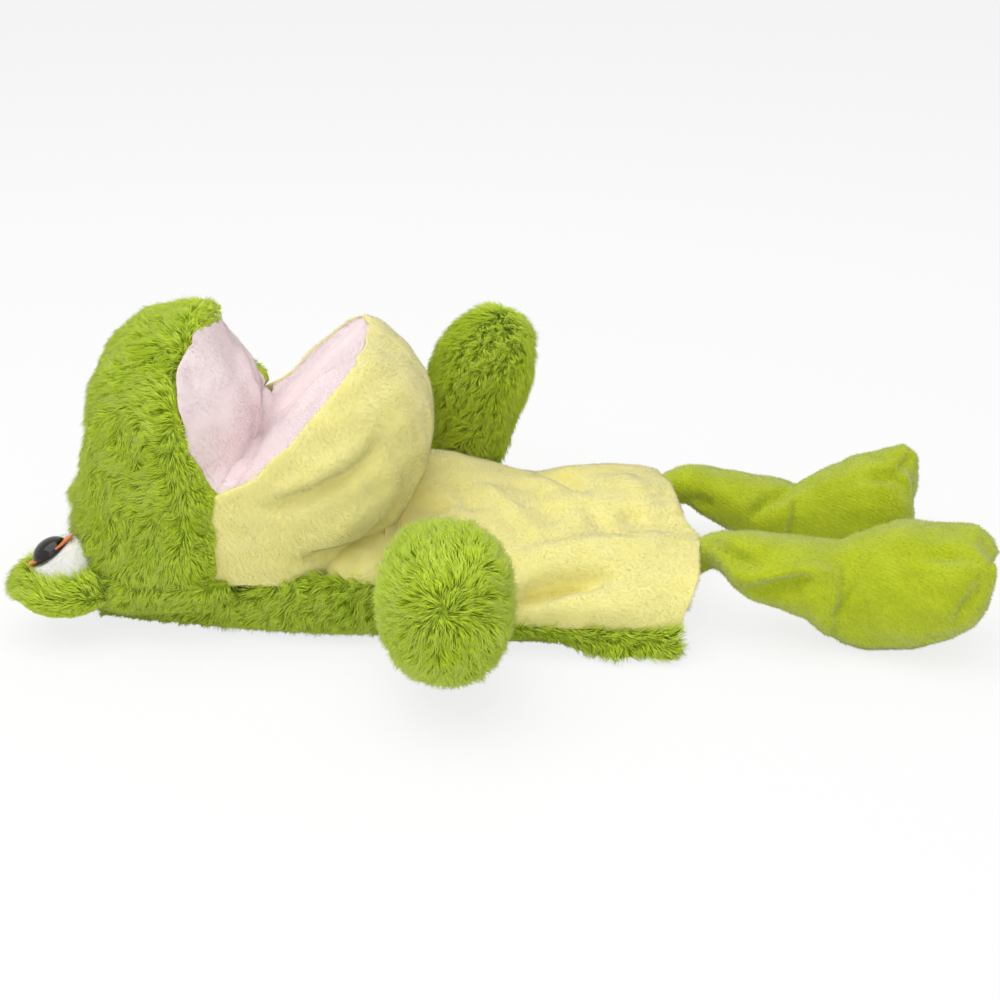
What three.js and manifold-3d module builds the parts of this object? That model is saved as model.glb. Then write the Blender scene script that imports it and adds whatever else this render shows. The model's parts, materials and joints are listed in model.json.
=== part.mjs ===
// Plush frog hand puppet lying on its back, belly up, mouth open.
// Millimetres, +Z up. +X points to the feet, -X to the crown of the head, +Y is the frog's left.
// The origin is on the flat underside of the back panel, under the middle of the sleeve.
import * as THREE from "three";
import { mergeVertices } from "three/addons/utils/BufferGeometryUtils.js";
import Module from "manifold-3d";

const wasm = await Module();
wasm.setup();

// Fabrics and clearances
const FUR_WALL = 4.5; // long pile with its knitted backing
const PLUSH_WALL = 2.6; // short pile with its backing
const LINING_WALL = 1.2; // plain woven lining
const SEAM_GAP = 0.4; // between pieces that are sewn or seated together
const FOLD_GAP = 1.0; // between pieces that fold against each other
const LINING_SLACK = 2; // the lining hangs clear of the belly's folds
const CUT_PAST = 8; // how far the hollow of a jaw runs out through its open side
const ROOT_PAST = 6; // how far the hollow of a limb runs out through its root
const FAR = 400; // beyond every piece, for blocks that cut

// Sleeve of the torso
const TORSO_FRONT = -47; // X of the neck edge
const TORSO_LENGTH = 125;
const NECK_HALF_WIDTH = 57;
const TAIL_HALF_WIDTH = 69;
const SIDE_SEAM_HEIGHT = 13;
const BELLY_FRONT_HEIGHT = 31;
const BELLY_TAIL_HEIGHT = 34;
const BELLY_SWELL = 8; // extra height halfway along
const BELLY_FOLD_DEPTH = 4; // slack folds across the belly
const NEAR_FOLD = [46, 14]; // of the near fold from the middle, at the neck and at the tail
const FAR_FOLD = [18, 30]; // of the far fold from the middle, at the neck and at the tail
const FOLD_HALF_WIDTH = 9;
const SECTION_POWER = 2.6; // squareness of the belly's arch

// Head and mouth, measured from the fold between the two palates
const MOUTH_FOLD_X = -104;
const MOUTH_FOLD_Z = 67;
const HEAD_HALF_WIDTH = 64;
const HEAD_DEPTH = 69.5; // from the mouth fold back to the crown
const HEAD_RISE = 53; // from the mouth fold up to the top of the upper lip
const CROWN_HEIGHT = 12; // height of the crown's rearmost point
const UPPER_LIP_LENGTH = 49;
const UPPER_LEAN = -10; // degrees from upright, towards the crown, in the middle
const UPPER_SIDE_LEAN = -40; // the same at the corners of the mouth
const UPPER_BULGE = 8; // how far the roof of the mouth swells out
const NECK_RIM_HEIGHT = 29; // where the fur of the neck meets the throat
const NAPE_RIM_HEIGHT = 22; // the same under the crown
const NAPE_HALF_WIDTH = 36; // under the crown
const NAPE_ROUND = 12; // how far the crown turns in under the head
const NAPE_INSET = 8; // from the crown's rearmost point
const CROWN_OFFSET = 12; // from the mouth fold to the middle of the crown's oval
const CROWN_POWER = 2.8; // squareness of the crown's oval
const LIP_ROUND = 2.5;

// Lower jaw
const CHIN_HALF_WIDTH = 62;
const LOWER_LIP_LENGTH = 67.5;
const LOWER_LEAN = 46; // degrees from upright, towards the belly
const CHIN_REACH = 77; // from the mouth fold to the front of the chin
const THROAT_REACH = 60; // from the mouth fold to the throat
const PALATE_PAD = 4.5;
const FINGER_ROOM = 21; // thickness of the finger pouch
const THUMB_ROOM = 20; // thickness of the thumb pouch
const POUCH_STEP = 12; // the pouches narrow towards the lips
const POUCH_PAST = 2; // how far the hollow of a pouch runs out through its mouth
const FILL_FOOT = 4; // of the head's filling, under the finger pouch
const FILL_DROP = 6; // of the chin's filling, below the mouth fold
const POUCH_INSET = 3; // from the side walls of both jaws
const LOWER_HOLLOW = 3; // crease along the middle of the floor of the mouth
const PUFF_POWER = 3; // squareness of both jaws, seen from the front
const JAW_SPAN = 0.985; // share of the half width that the pads inside both jaws reach

// Eyes
const EYE_SPREAD = 45; // from the middle of the head
const EYE_HEIGHT = 30;
const EYE_STANDOFF = 12; // of the eyeball's centre from the crown
const LEFT_EYE_SETBACK = 4; // the left eye is pressed in by the way the toy lies
const EYEBALL_RADIUS = 13.5;
const EYEBALL_DEPTH = 12;
const IRIS_RADIUS = 9.6;
const IRIS_THICKNESS = 1.2;
const DOME_RADIUS = 8.4;
const DOME_HEIGHT = 5.6;
const SHANK_RADIUS = 2;
const SHANK_LENGTH = 9;
const WASHER_RADIUS = 6.5;
const WASHER_THICKNESS = 1.4;
const EYE_LOOK = [-0.55, 0.15, 0.82]; // direction of the right eye, Y towards the middle reversed
const LID_SIZE = [20, 19, 11];
const LID_DROP = 12; // of the lid's centre below the eyeball's

// Arms
const SHOULDER_BACK = 27; // from the neck edge of the torso
const SHOULDER_HEIGHT = 24;
const ARM_LENGTH = 68;
const ARM_ROOT_RADIUS = 8; // half thickness at the seam
const ARM_SEAM_GAP = 0.7; // from the belly's side
const ARM_ROOT_HALF_WIDTH = 15;
const ARM_HALF_WIDTH = 20.5;
const ARM_HALF_THICKNESS = 26;
const RIGHT_ARM_LIFT = 20; // degrees above level
const RIGHT_ARM_SLANT = 10; // degrees towards the feet
const LEFT_ARM_LIFT = 78;
const LEFT_ARM_SLANT = 18;

// Legs and feet
const HIP_SPREAD = 44;
const HIP_ROOT_RADIUS = 8.5;
const HIP_HALF_WIDTH = 12;
const HIP_SEAM_GAP = 1.9; // the hem slants across the root of each leg
const LEG_LENGTH = 58; // from the hip to the ankle
const LEG_HALF_WIDTH = 21;
const LEG_HALF_THICKNESS = 19.5;
const LEFT_LEG_LENGTH = 53; // the left leg is crumpled a little
const LEG_SWAY = 8; // degrees that both legs swing to the frog's right
const ANKLE_RADIUS = 20; // round heel that turns in the open end of the leg
const HEEL_TIP = 1.5; // where the heel's cloth is gathered
const ANKLE_SOCKET = 11; // from the ankle's centre back to the leg's rim
const FOOT_LENGTH = 52; // from the ankle to the toes
const FOOT_HALF_WIDTH = 28;
const FOOT_HALF_HEIGHT = 25.5;
const TOE_DENT = 5;
const TABLE_GAP = 0.5; // the soles lie just above the table

// Fabric and plastic colours
const FUR = new THREE.MeshStandardMaterial({ color: 0x9db83e, roughness: 0.95 });
const GREEN_PLUSH = new THREE.MeshStandardMaterial({ color: 0xaec93c, roughness: 0.9 });
const YELLOW_PLUSH = new THREE.MeshStandardMaterial({ color: 0xf0e48f, roughness: 0.9 });
const PINK_PLUSH = new THREE.MeshStandardMaterial({ color: 0xf0d3d6, roughness: 0.9 });
const WHITE_PLUSH = new THREE.MeshStandardMaterial({ color: 0xf6f5ef, roughness: 0.9 });
const LINING = new THREE.MeshStandardMaterial({ color: 0xe9e6dc, roughness: 0.8 });
const FILLING = new THREE.MeshStandardMaterial({ color: 0xf4f4f2, roughness: 1 });
const BLACK_PLASTIC = new THREE.MeshStandardMaterial({ color: 0x120c0a, roughness: 0.12 });
const ORANGE_PLASTIC = new THREE.MeshStandardMaterial({ color: 0xd8731c, roughness: 0.2 });
const NYLON = new THREE.MeshStandardMaterial({ color: 0xe8e8e6, roughness: 0.5 });

const rad = THREE.MathUtils.degToRad;
const lerp = THREE.MathUtils.lerp;
const smooth = THREE.MathUtils.smoothstep;
const power = (value, exponent) => Math.sign(value) * Math.abs(value) ** exponent;

// A closed surface from points and triangles, turned so that its faces point outwards
function closedSurface(points, triangles) {
  let volume = 0;
  for (const [a, b, c] of triangles) {
    volume += points[a].dot(new THREE.Vector3().crossVectors(points[b], points[c]));
  }
  const order = volume > 0 ? triangles : triangles.map(([a, b, c]) => [a, c, b]);
  const geometry = new THREE.BufferGeometry().setFromPoints(points);
  geometry.setIndex(order.flat());
  return mergeVertices(geometry, 1e-4);
}

// Manifold solid of a closed geometry, and back again
function solid(geometry, matrix) {
  const bare = geometry.clone();
  bare.deleteAttribute("normal");
  bare.deleteAttribute("uv");
  if (matrix) bare.applyMatrix4(matrix);
  const merged = mergeVertices(bare, 1e-4);
  return new wasm.Manifold(
    new wasm.Mesh({
      numProp: 3,
      vertProperties: new Float32Array(merged.attributes.position.array),
      triVerts: new Uint32Array(merged.index.array),
    }),
  );
}

// The main body of a cut, without the slivers that a cut along a face can leave
function mainBody(body) {
  return body.decompose().reduce((best, part) => (part.volume() > best.volume() ? part : best));
}

function geometryOf(body) {
  const mesh = body.getMesh();
  const geometry = new THREE.BufferGeometry();
  geometry.setAttribute("position", new THREE.BufferAttribute(mesh.vertProperties, 3));
  geometry.setIndex(new THREE.BufferAttribute(mesh.triVerts, 1));
  geometry.computeVertexNormals();
  return geometry;
}

function piece(name, shape, material) {
  const geometry = shape.isBufferGeometry ? shape : geometryOf(mainBody(shape));
  geometry.computeVertexNormals();
  const mesh = new THREE.Mesh(geometry, material);
  mesh.name = name;
  return mesh;
}

// Box between two corners
function block(low, high) {
  const size = high.map((value, i) => value - low[i]);
  const box = new THREE.BoxGeometry(...size);
  box.translate(...high.map((value, i) => (value + low[i]) / 2));
  return box;
}

// Thick sheet between an outer and an inner surface, each given over 0..1 across and 0..1 along
function thickSheet(outer, inner, across, along) {
  const points = [];
  const triangles = [];
  const grid = (across + 1) * (along + 1);
  for (const surface of [outer, inner]) {
    for (let j = 0; j <= along; j += 1) {
      for (let i = 0; i <= across; i += 1) points.push(surface(i / across, j / along));
    }
  }
  const at = (i, j, side) => side * grid + j * (across + 1) + i;
  const quad = (a, b, c, d) => triangles.push([a, b, c], [a, c, d]);
  for (let j = 0; j < along; j += 1) {
    for (let i = 0; i < across; i += 1) {
      quad(at(i, j, 0), at(i + 1, j, 0), at(i + 1, j + 1, 0), at(i, j + 1, 0));
      quad(at(i, j + 1, 1), at(i + 1, j + 1, 1), at(i + 1, j, 1), at(i, j, 1));
    }
  }
  for (let j = 0; j < along; j += 1) {
    quad(at(0, j, 1), at(0, j, 0), at(0, j + 1, 0), at(0, j + 1, 1));
    quad(at(across, j, 0), at(across, j, 1), at(across, j + 1, 1), at(across, j + 1, 0));
  }
  for (let i = 0; i < across; i += 1) {
    quad(at(i, 0, 0), at(i, 0, 1), at(i + 1, 0, 1), at(i + 1, 0, 0));
    quad(at(i, along, 1), at(i, along, 0), at(i + 1, along, 0), at(i + 1, along, 1));
  }
  return closedSurface(points, triangles);
}

// Tube with open ends between two closed sections
function openTube(outer, inner, around, along) {
  const points = [];
  const triangles = [];
  for (const surface of [outer, inner]) {
    for (let j = 0; j <= along; j += 1) {
      for (let i = 0; i < around; i += 1) points.push(surface(i / around, j / along));
    }
  }
  const at = (i, j, side) => (side * (along + 1) + j) * around + (i % around);
  const quad = (a, b, c, d) => triangles.push([a, b, c], [a, c, d]);
  for (let i = 0; i < around; i += 1) {
    for (let j = 0; j < along; j += 1) {
      quad(at(i, j, 0), at(i + 1, j, 0), at(i + 1, j + 1, 0), at(i, j + 1, 0));
      quad(at(i, j + 1, 1), at(i + 1, j + 1, 1), at(i + 1, j, 1), at(i, j, 1));
    }
    quad(at(i, 0, 0), at(i, 0, 1), at(i + 1, 0, 1), at(i + 1, 0, 0));
    quad(at(i, along, 1), at(i, along, 0), at(i + 1, along, 0), at(i + 1, along, 1));
  }
  return closedSurface(points, triangles);
}

// Loft through rings of points, closed at both ends by a fan
function loft(rings) {
  const count = rings[0].length;
  const points = rings.flat();
  const triangles = [];
  for (let j = 0; j + 1 < rings.length; j += 1) {
    for (let i = 0; i < count; i += 1) {
      const a = j * count + i;
      const b = j * count + ((i + 1) % count);
      triangles.push([a, b, b + count], [a, b + count, a + count]);
    }
  }
  for (const [j, flip] of [[0, true], [rings.length - 1, false]]) {
    const middle = rings[j].reduce((sum, p) => sum.add(p), new THREE.Vector3()).divideScalar(count);
    points.push(middle);
    const hub = points.length - 1;
    for (let i = 0; i < count; i += 1) {
      const a = j * count + i;
      const b = j * count + ((i + 1) % count);
      triangles.push(flip ? [hub, b, a] : [hub, a, b]);
    }
  }
  return closedSurface(points, triangles);
}

// Torso sections: t runs from the neck edge to the tail, arc from the right seam over to the left seam
const torsoX = (t) => TORSO_FRONT + TORSO_LENGTH * t;
const torsoHalf = (t) => lerp(NECK_HALF_WIDTH, TAIL_HALF_WIDTH, Math.sin((t * Math.PI) / 2));
const bellyRise = (t) => {
  const height = lerp(BELLY_FRONT_HEIGHT, BELLY_TAIL_HEIGHT, t) + BELLY_SWELL * 4 * t * (1 - t);
  return height - SIDE_SEAM_HEIGHT - SEAM_GAP;
};

// Slack folds: two long valleys that run slantwise over the belly
function bellyFold(y, t) {
  const near = Math.exp(-(((y + lerp(...NEAR_FOLD, t)) / FOLD_HALF_WIDTH) ** 2)) * smooth(t, 0.25, 0.6);
  const reach = smooth(t, 0.3, 0.55) * (1 - smooth(t, 0.7, 1));
  const far = Math.exp(-(((y - lerp(...FAR_FOLD, t)) / FOLD_HALF_WIDTH) ** 2)) * reach;
  return -BELLY_FOLD_DEPTH * (near + 0.8 * far);
}

function bellyPoint(arc, t, inset) {
  const angle = Math.PI * (1 - arc);
  const y = (torsoHalf(t) - inset) * power(Math.cos(angle), 2 / SECTION_POWER);
  const rise = power(Math.sin(angle), 2 / SECTION_POWER);
  const z = SIDE_SEAM_HEIGHT + SEAM_GAP + (bellyRise(t) - inset) * rise + bellyFold(y, t) * rise;
  return new THREE.Vector3(torsoX(t), y, z);
}

function backPoint(arc, t, inset, rim, half, x) {
  const angle = Math.PI * (1 - arc);
  const y = (half - inset) * power(Math.cos(angle), 2 / 5);
  const drop = power(Math.sin(angle), 2 / 5);
  const z = Math.max(inset, rim - (rim - inset + 2) * drop);
  return new THREE.Vector3(x, y, z);
}

const torsoBack = (inset) => (arc, t) =>
  backPoint(arc, t, inset, SIDE_SEAM_HEIGHT, torsoHalf(t), torsoX(t));

const backPanel = thickSheet(torsoBack(0), torsoBack(FUR_WALL), 16, 8);
const bellyPanel = thickSheet(
  (arc, t) => bellyPoint(arc, t, 0),
  (arc, t) => bellyPoint(arc, t, PLUSH_WALL),
  16,
  10,
);

// The lining follows the inside of the two panels
function sleevePoint(turn, t, wall) {
  const stop = lerp(0.01, 0.99, t);
  const upper = turn <= 0.5;
  const arc = upper ? 1 - turn * 2 : turn * 2 - 1;
  if (upper) {
    const top = bellyPoint(arc, stop, PLUSH_WALL + LINING_SLACK + wall);
    top.y *= 1 - (FUR_WALL - PLUSH_WALL) / torsoHalf(stop);
    return top;
  }
  const inset = FUR_WALL + SEAM_GAP + wall;
  const low = backPoint(arc, stop, inset, SIDE_SEAM_HEIGHT, torsoHalf(stop), torsoX(stop));
  low.z = Math.min(low.z, SIDE_SEAM_HEIGHT + SEAM_GAP);
  return low;
}

const handSleeve = openTube(
  (turn, t) => sleevePoint(turn, t, 0),
  (turn, t) => sleevePoint(turn, t, LINING_WALL),
  24,
  6,
);

// A jaw is a side section drawn in towards the mouth fold on both sides.
// section(side) gives its outline for side -1..1, and span says how far out it runs.
const fold = new THREE.Vector2(MOUTH_FOLD_X, MOUTH_FOLD_Z);
const drawIn = (side) => Math.max(0.12, (1 - Math.abs(side) ** PUFF_POWER) ** (1 / PUFF_POWER));

function puff(section, halfWidth, span, stations) {
  const rings = [];
  const turn = Math.asin(span);
  for (let j = 0; j <= stations; j += 1) {
    const side = Math.sin(lerp(-turn, turn, j / stations));
    const draw = drawIn(side);
    rings.push(
      section(side).map(
        (p) => new THREE.Vector3(lerp(fold.x, p.x, draw), halfWidth * side, lerp(fold.y, p.y, draw)),
      ),
    );
  }
  return solid(loft(rings));
}

// A point of the side view: along a lip that leans by some degrees from upright towards the belly,
// and off to the belly's side of it
function lipPoint(lean, along, off) {
  const c = Math.cos(rad(lean));
  const s = Math.sin(rad(lean));
  return new THREE.Vector2(fold.x + along * s + off * c, fold.y + along * c - off * s);
}

const above = (height) => solid(block([-FAR, -FAR, height], [FAR, FAR, FAR]));
const below = (height) => solid(block([-FAR, -FAR, -FAR], [FAR, FAR, height]));
const upperLean = (side) => lerp(UPPER_LEAN, UPPER_SIDE_LEAN, side * side);

// Crown of the head: a quarter of a squarish oval from the lip back and down to the nape
const crownMiddle = new THREE.Vector2(MOUTH_FOLD_X - CROWN_OFFSET, CROWN_HEIGHT);

function crownPoint(angle, inset) {
  const back = HEAD_DEPTH - CROWN_OFFSET - inset;
  const rise = MOUTH_FOLD_Z + HEAD_RISE - CROWN_HEIGHT - inset;
  return new THREE.Vector2(
    crownMiddle.x - back * power(Math.cos(angle), 2 / CROWN_POWER),
    crownMiddle.y + rise * power(Math.sin(angle), 2 / CROWN_POWER),
  );
}

function crownLine(inset, steps) {
  const points = [];
  for (let i = 0; i <= steps; i += 1) points.push(crownPoint(lerp(rad(78), 0, i / steps), inset));
  const nape = points[steps];
  points.push(new THREE.Vector2(nape.x + NAPE_ROUND / 4, lerp(nape.y, inset, 0.7)));
  points.push(new THREE.Vector2(nape.x + NAPE_ROUND, inset));
  return points;
}

const headSection = (inset, opening) => (side) => {
  const lip = lipPoint(upperLean(side), UPPER_LIP_LENGTH - inset, opening);
  const crown = crownLine(inset, 10);
  const brim = lip.clone().lerp(crown[0], 0.4);
  brim.y += LIP_ROUND;
  const root = new THREE.Vector2(fold.x + opening, fold.y);
  return [root, lip, brim, ...crown, new THREE.Vector2(fold.x - CUT_PAST + opening * 2, inset)];
};

// Nape: the fur under the head and round the throat, a trough that reaches to the torso
const NECK_END = TORSO_FRONT - SEAM_GAP;
const napeStart = MOUTH_FOLD_X - HEAD_DEPTH + NAPE_INSET;

function napeRing(t, inset, rise, start, end) {
  const half = lerp(NAPE_HALF_WIDTH, NECK_HALF_WIDTH, Math.sin((t * Math.PI) / 2)) - inset;
  const rim = lerp(NAPE_RIM_HEIGHT, NECK_RIM_HEIGHT, smooth(t, 0, 0.5));
  const points = [];
  for (let i = 0; i <= 14; i += 1) {
    const angle = (Math.PI * i) / 14;
    const drop = power(Math.sin(angle), 2 / 5);
    const z = Math.max(inset, rim - (rim - inset + 2) * drop);
    points.push(new THREE.Vector3(lerp(start, end, t), half * power(Math.cos(angle), 2 / 5), z));
  }
  points[0].z += rise;
  points[14].z += rise;
  return points;
}

function nape(inset, rise, start, end) {
  const rings = [];
  for (let j = 0; j <= 6; j += 1) rings.push(napeRing(j / 6, inset, rise, start, end));
  return solid(loft(rings));
}

const headOuter = puff(headSection(0, 0), HEAD_HALF_WIDTH, 1, 14).add(nape(0, 0, napeStart, NECK_END));
const headHollow = puff(headSection(FUR_WALL, CUT_PAST), HEAD_HALF_WIDTH - FUR_WALL, 1, 12).add(
  nape(FUR_WALL, FOLD_GAP, napeStart + FUR_WALL, NECK_END + FOLD_GAP),
);
const headShell = headOuter.subtract(headHollow);

// The crown and the nape are two panels, sewn together along the rim of the neck
const headCover = headShell.intersect(above(NECK_RIM_HEIGHT + SEAM_GAP));
const napePanel = headShell.intersect(below(NECK_RIM_HEIGHT));

// Inside the head, from the mouth back: palate, finger pouch, filling
const headRoomHalf = HEAD_HALF_WIDTH - FUR_WALL - SEAM_GAP;
const headRoom = puff(headSection(FUR_WALL + SEAM_GAP, CUT_PAST), headRoomHalf, 1, 12);
const fingerHalf = headRoomHalf - POUCH_INSET;
const upperReach = UPPER_LIP_LENGTH - FUR_WALL - SEAM_GAP;
const fingerFront = PALATE_PAD + FOLD_GAP;
const fingerBack = fingerFront + FINGER_ROOM;

const roofOfMouth = (grow) =>
  puff(
    (side) => {
      const lean = upperLean(side);
      const points = [];
      for (let i = 0; i <= 6; i += 1) {
        const share = i / 6;
        const swell = UPPER_BULGE * Math.sin(Math.PI * share) * (1 - side * side);
        points.push(lipPoint(lean, upperReach * share, swell - SEAM_GAP));
      }
      points.push(lipPoint(lean, upperReach, -PALATE_PAD - grow), lipPoint(lean, -grow, -PALATE_PAD - grow));
      return points;
    },
    headRoomHalf,
    JAW_SPAN,
    12,
  );
const upperPalate = roofOfMouth(0).intersect(headRoom);

const fingerPouch = (wall, mouth) =>
  puff(
    (side) => {
      const lean = upperLean(side);
      return [
        lipPoint(lean, upperReach - SEAM_GAP - wall, -fingerFront - wall),
        lipPoint(lean, -mouth, -fingerFront - wall),
        lipPoint(lean, -mouth, -fingerBack + wall),
        lipPoint(lean, upperReach - POUCH_STEP - wall, -fingerBack + wall),
      ];
    },
    fingerHalf - wall,
    JAW_SPAN,
    12,
  );
const fingerPocket = fingerPouch(0, 0)
  .subtract(fingerPouch(LINING_WALL, POUCH_PAST))
  .subtract(roofOfMouth(FOLD_GAP));

const headFill = puff(
  (side) => {
    const lean = upperLean(side);
    const foot = lipPoint(lean, 0, -fingerBack - FOLD_GAP);
    return [
      lipPoint(lean, upperReach - POUCH_STEP, -fingerBack - FOLD_GAP),
      ...crownLine(FUR_WALL + SEAM_GAP, 8).slice(2),
      new THREE.Vector2(foot.x - FILL_FOOT, FUR_WALL + SEAM_GAP),
      foot,
    ];
  },
  fingerHalf,
  JAW_SPAN,
  12,
).intersect(headRoom);

// Lower jaw: a fan of the side view about the mouth fold, open below
const jawFloor = NECK_RIM_HEIGHT + FOLD_GAP;
const inFront = solid(block([MOUTH_FOLD_X + SEAM_GAP, -FAR, -FAR], [FAR, FAR, FAR]));
const jawSpace = above(jawFloor).intersect(inFront);

function chinReach(turn) {
  const front = lerp(LOWER_LIP_LENGTH, CHIN_REACH, smooth(turn, LOWER_LEAN - 10, 75));
  return lerp(front, THROAT_REACH, smooth(turn, 75, 150));
}

function chinArc(inset, from, to, steps) {
  const points = [];
  for (let i = 0; i <= steps; i += 1) {
    const turn = lerp(from, to, i / steps);
    points.push(lipPoint(turn, chinReach(turn) - inset, 0));
  }
  return points;
}

const chinSection = (inset, early) => () => [
  fold.clone(),
  lipPoint(LOWER_LEAN - early, LOWER_LIP_LENGTH - inset, 0),
  ...chinArc(inset, LOWER_LEAN + 5, 180, 12),
];
const chinCover = puff(chinSection(0, 0), CHIN_HALF_WIDTH, 1, 14)
  .subtract(puff(chinSection(PLUSH_WALL, 12), CHIN_HALF_WIDTH - PLUSH_WALL, 1, 12))
  .intersect(jawSpace);

// Inside the jaw, from the mouth out: palate, thumb pouch, filling
const chinRoomHalf = CHIN_HALF_WIDTH - PLUSH_WALL - SEAM_GAP;
const chinRoom = puff(chinSection(PLUSH_WALL + SEAM_GAP, 12), chinRoomHalf, 1, 12).intersect(jawSpace);
const thumbHalf = chinRoomHalf - POUCH_INSET;
const lowerReach = LOWER_LIP_LENGTH - PLUSH_WALL - SEAM_GAP;
const thumbFront = PALATE_PAD + FOLD_GAP;
const thumbBack = thumbFront + THUMB_ROOM;

const floorOfMouth = (grow) =>
  puff(
    (side) => {
      const points = [];
      for (let i = 0; i <= 5; i += 1) {
        const share = i / 5;
        const hollow = LOWER_HOLLOW * Math.sin(Math.PI * share) * Math.max(0, 1 - 3 * Math.abs(side));
        points.push(lipPoint(LOWER_LEAN, lowerReach * share, hollow + SEAM_GAP));
      }
      const back = PALATE_PAD + grow;
      points.push(lipPoint(LOWER_LEAN, lowerReach, back), lipPoint(LOWER_LEAN, -grow, back));
      return points;
    },
    chinRoomHalf,
    JAW_SPAN,
    12,
  );
const lowerPalate = floorOfMouth(0).intersect(chinRoom);

const thumbPouch = (wall, mouth) =>
  puff(
    () => [
      lipPoint(LOWER_LEAN, lowerReach - SEAM_GAP - wall, thumbFront + wall),
      lipPoint(LOWER_LEAN, -mouth, thumbFront + wall),
      lipPoint(LOWER_LEAN, -mouth, thumbBack - wall),
      lipPoint(LOWER_LEAN, lowerReach - POUCH_STEP - wall, thumbBack - wall),
    ],
    thumbHalf - wall,
    JAW_SPAN,
    12,
  );
const thumbPocket = thumbPouch(0, 0)
  .subtract(thumbPouch(LINING_WALL, POUCH_PAST))
  .subtract(floorOfMouth(FOLD_GAP));

const chinFill = puff(
  () => [
    lipPoint(LOWER_LEAN, lowerReach - POUCH_STEP, thumbBack + FOLD_GAP),
    ...chinArc(PLUSH_WALL + SEAM_GAP, LOWER_LEAN + 28, 132, 8),
    lipPoint(LOWER_LEAN, -FILL_DROP, thumbBack + FOLD_GAP),
  ],
  thumbHalf,
  JAW_SPAN,
  12,
).intersect(chinRoom);

// Crown of the head at a given side distance and height
function crownX(y, z) {
  const draw = (1 - (Math.abs(y) / HEAD_HALF_WIDTH) ** PUFF_POWER) ** (1 / PUFF_POWER);
  const level = MOUTH_FOLD_Z + (z - MOUTH_FOLD_Z) / draw;
  const share = THREE.MathUtils.clamp(
    (level - CROWN_HEIGHT) / (MOUTH_FOLD_Z + HEAD_RISE - CROWN_HEIGHT),
    0,
    1,
  );
  const back = (HEAD_DEPTH - CROWN_OFFSET) * (1 - share ** CROWN_POWER) ** (1 / CROWN_POWER);
  return lerp(MOUTH_FOLD_X, crownMiddle.x - back, draw);
}

// An eye: eyeball with a flat seat, iris disc, dome on a shank, washer inside the eyeball
function lathe(profile, segments) {
  const turned = new THREE.LatheGeometry(profile.map(([r, z]) => new THREE.Vector2(r, z)), segments);
  turned.rotateX(Math.PI / 2);
  return turned;
}

const seat = EYEBALL_DEPTH * Math.sqrt(1 - ((IRIS_RADIUS + SEAM_GAP) / EYEBALL_RADIUS) ** 2);
const irisBase = seat + SEAM_GAP;
const domeBase = irisBase + IRIS_THICKNESS + SEAM_GAP;
const washerTop = seat - PLUSH_WALL;
const shankEnd = domeBase - SHANK_LENGTH;

function eyeball(grow) {
  const ball = new THREE.SphereGeometry(1, 14, 9);
  ball.scale(EYEBALL_RADIUS + grow, EYEBALL_RADIUS + grow, EYEBALL_DEPTH + grow);
  return ball;
}

const domeProfile = [
  [0, shankEnd],
  [SHANK_RADIUS, shankEnd],
  [SHANK_RADIUS, domeBase],
  [DOME_RADIUS, domeBase],
];
for (let i = 1; i <= 5; i += 1) {
  const angle = (Math.PI / 2) * (i / 5);
  domeProfile.push([DOME_RADIUS * Math.cos(angle), domeBase + DOME_HEIGHT * Math.sin(angle)]);
}
domeProfile[domeProfile.length - 1][0] = 0;
const ring = (inside, outside, low, high) => [
  [inside, low],
  [outside, low],
  [outside, high],
  [inside, high],
  [inside, low],
];
const plug = (radius, low, high) => [[0, low], [radius, low], [radius, high], [0, high]];

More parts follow.
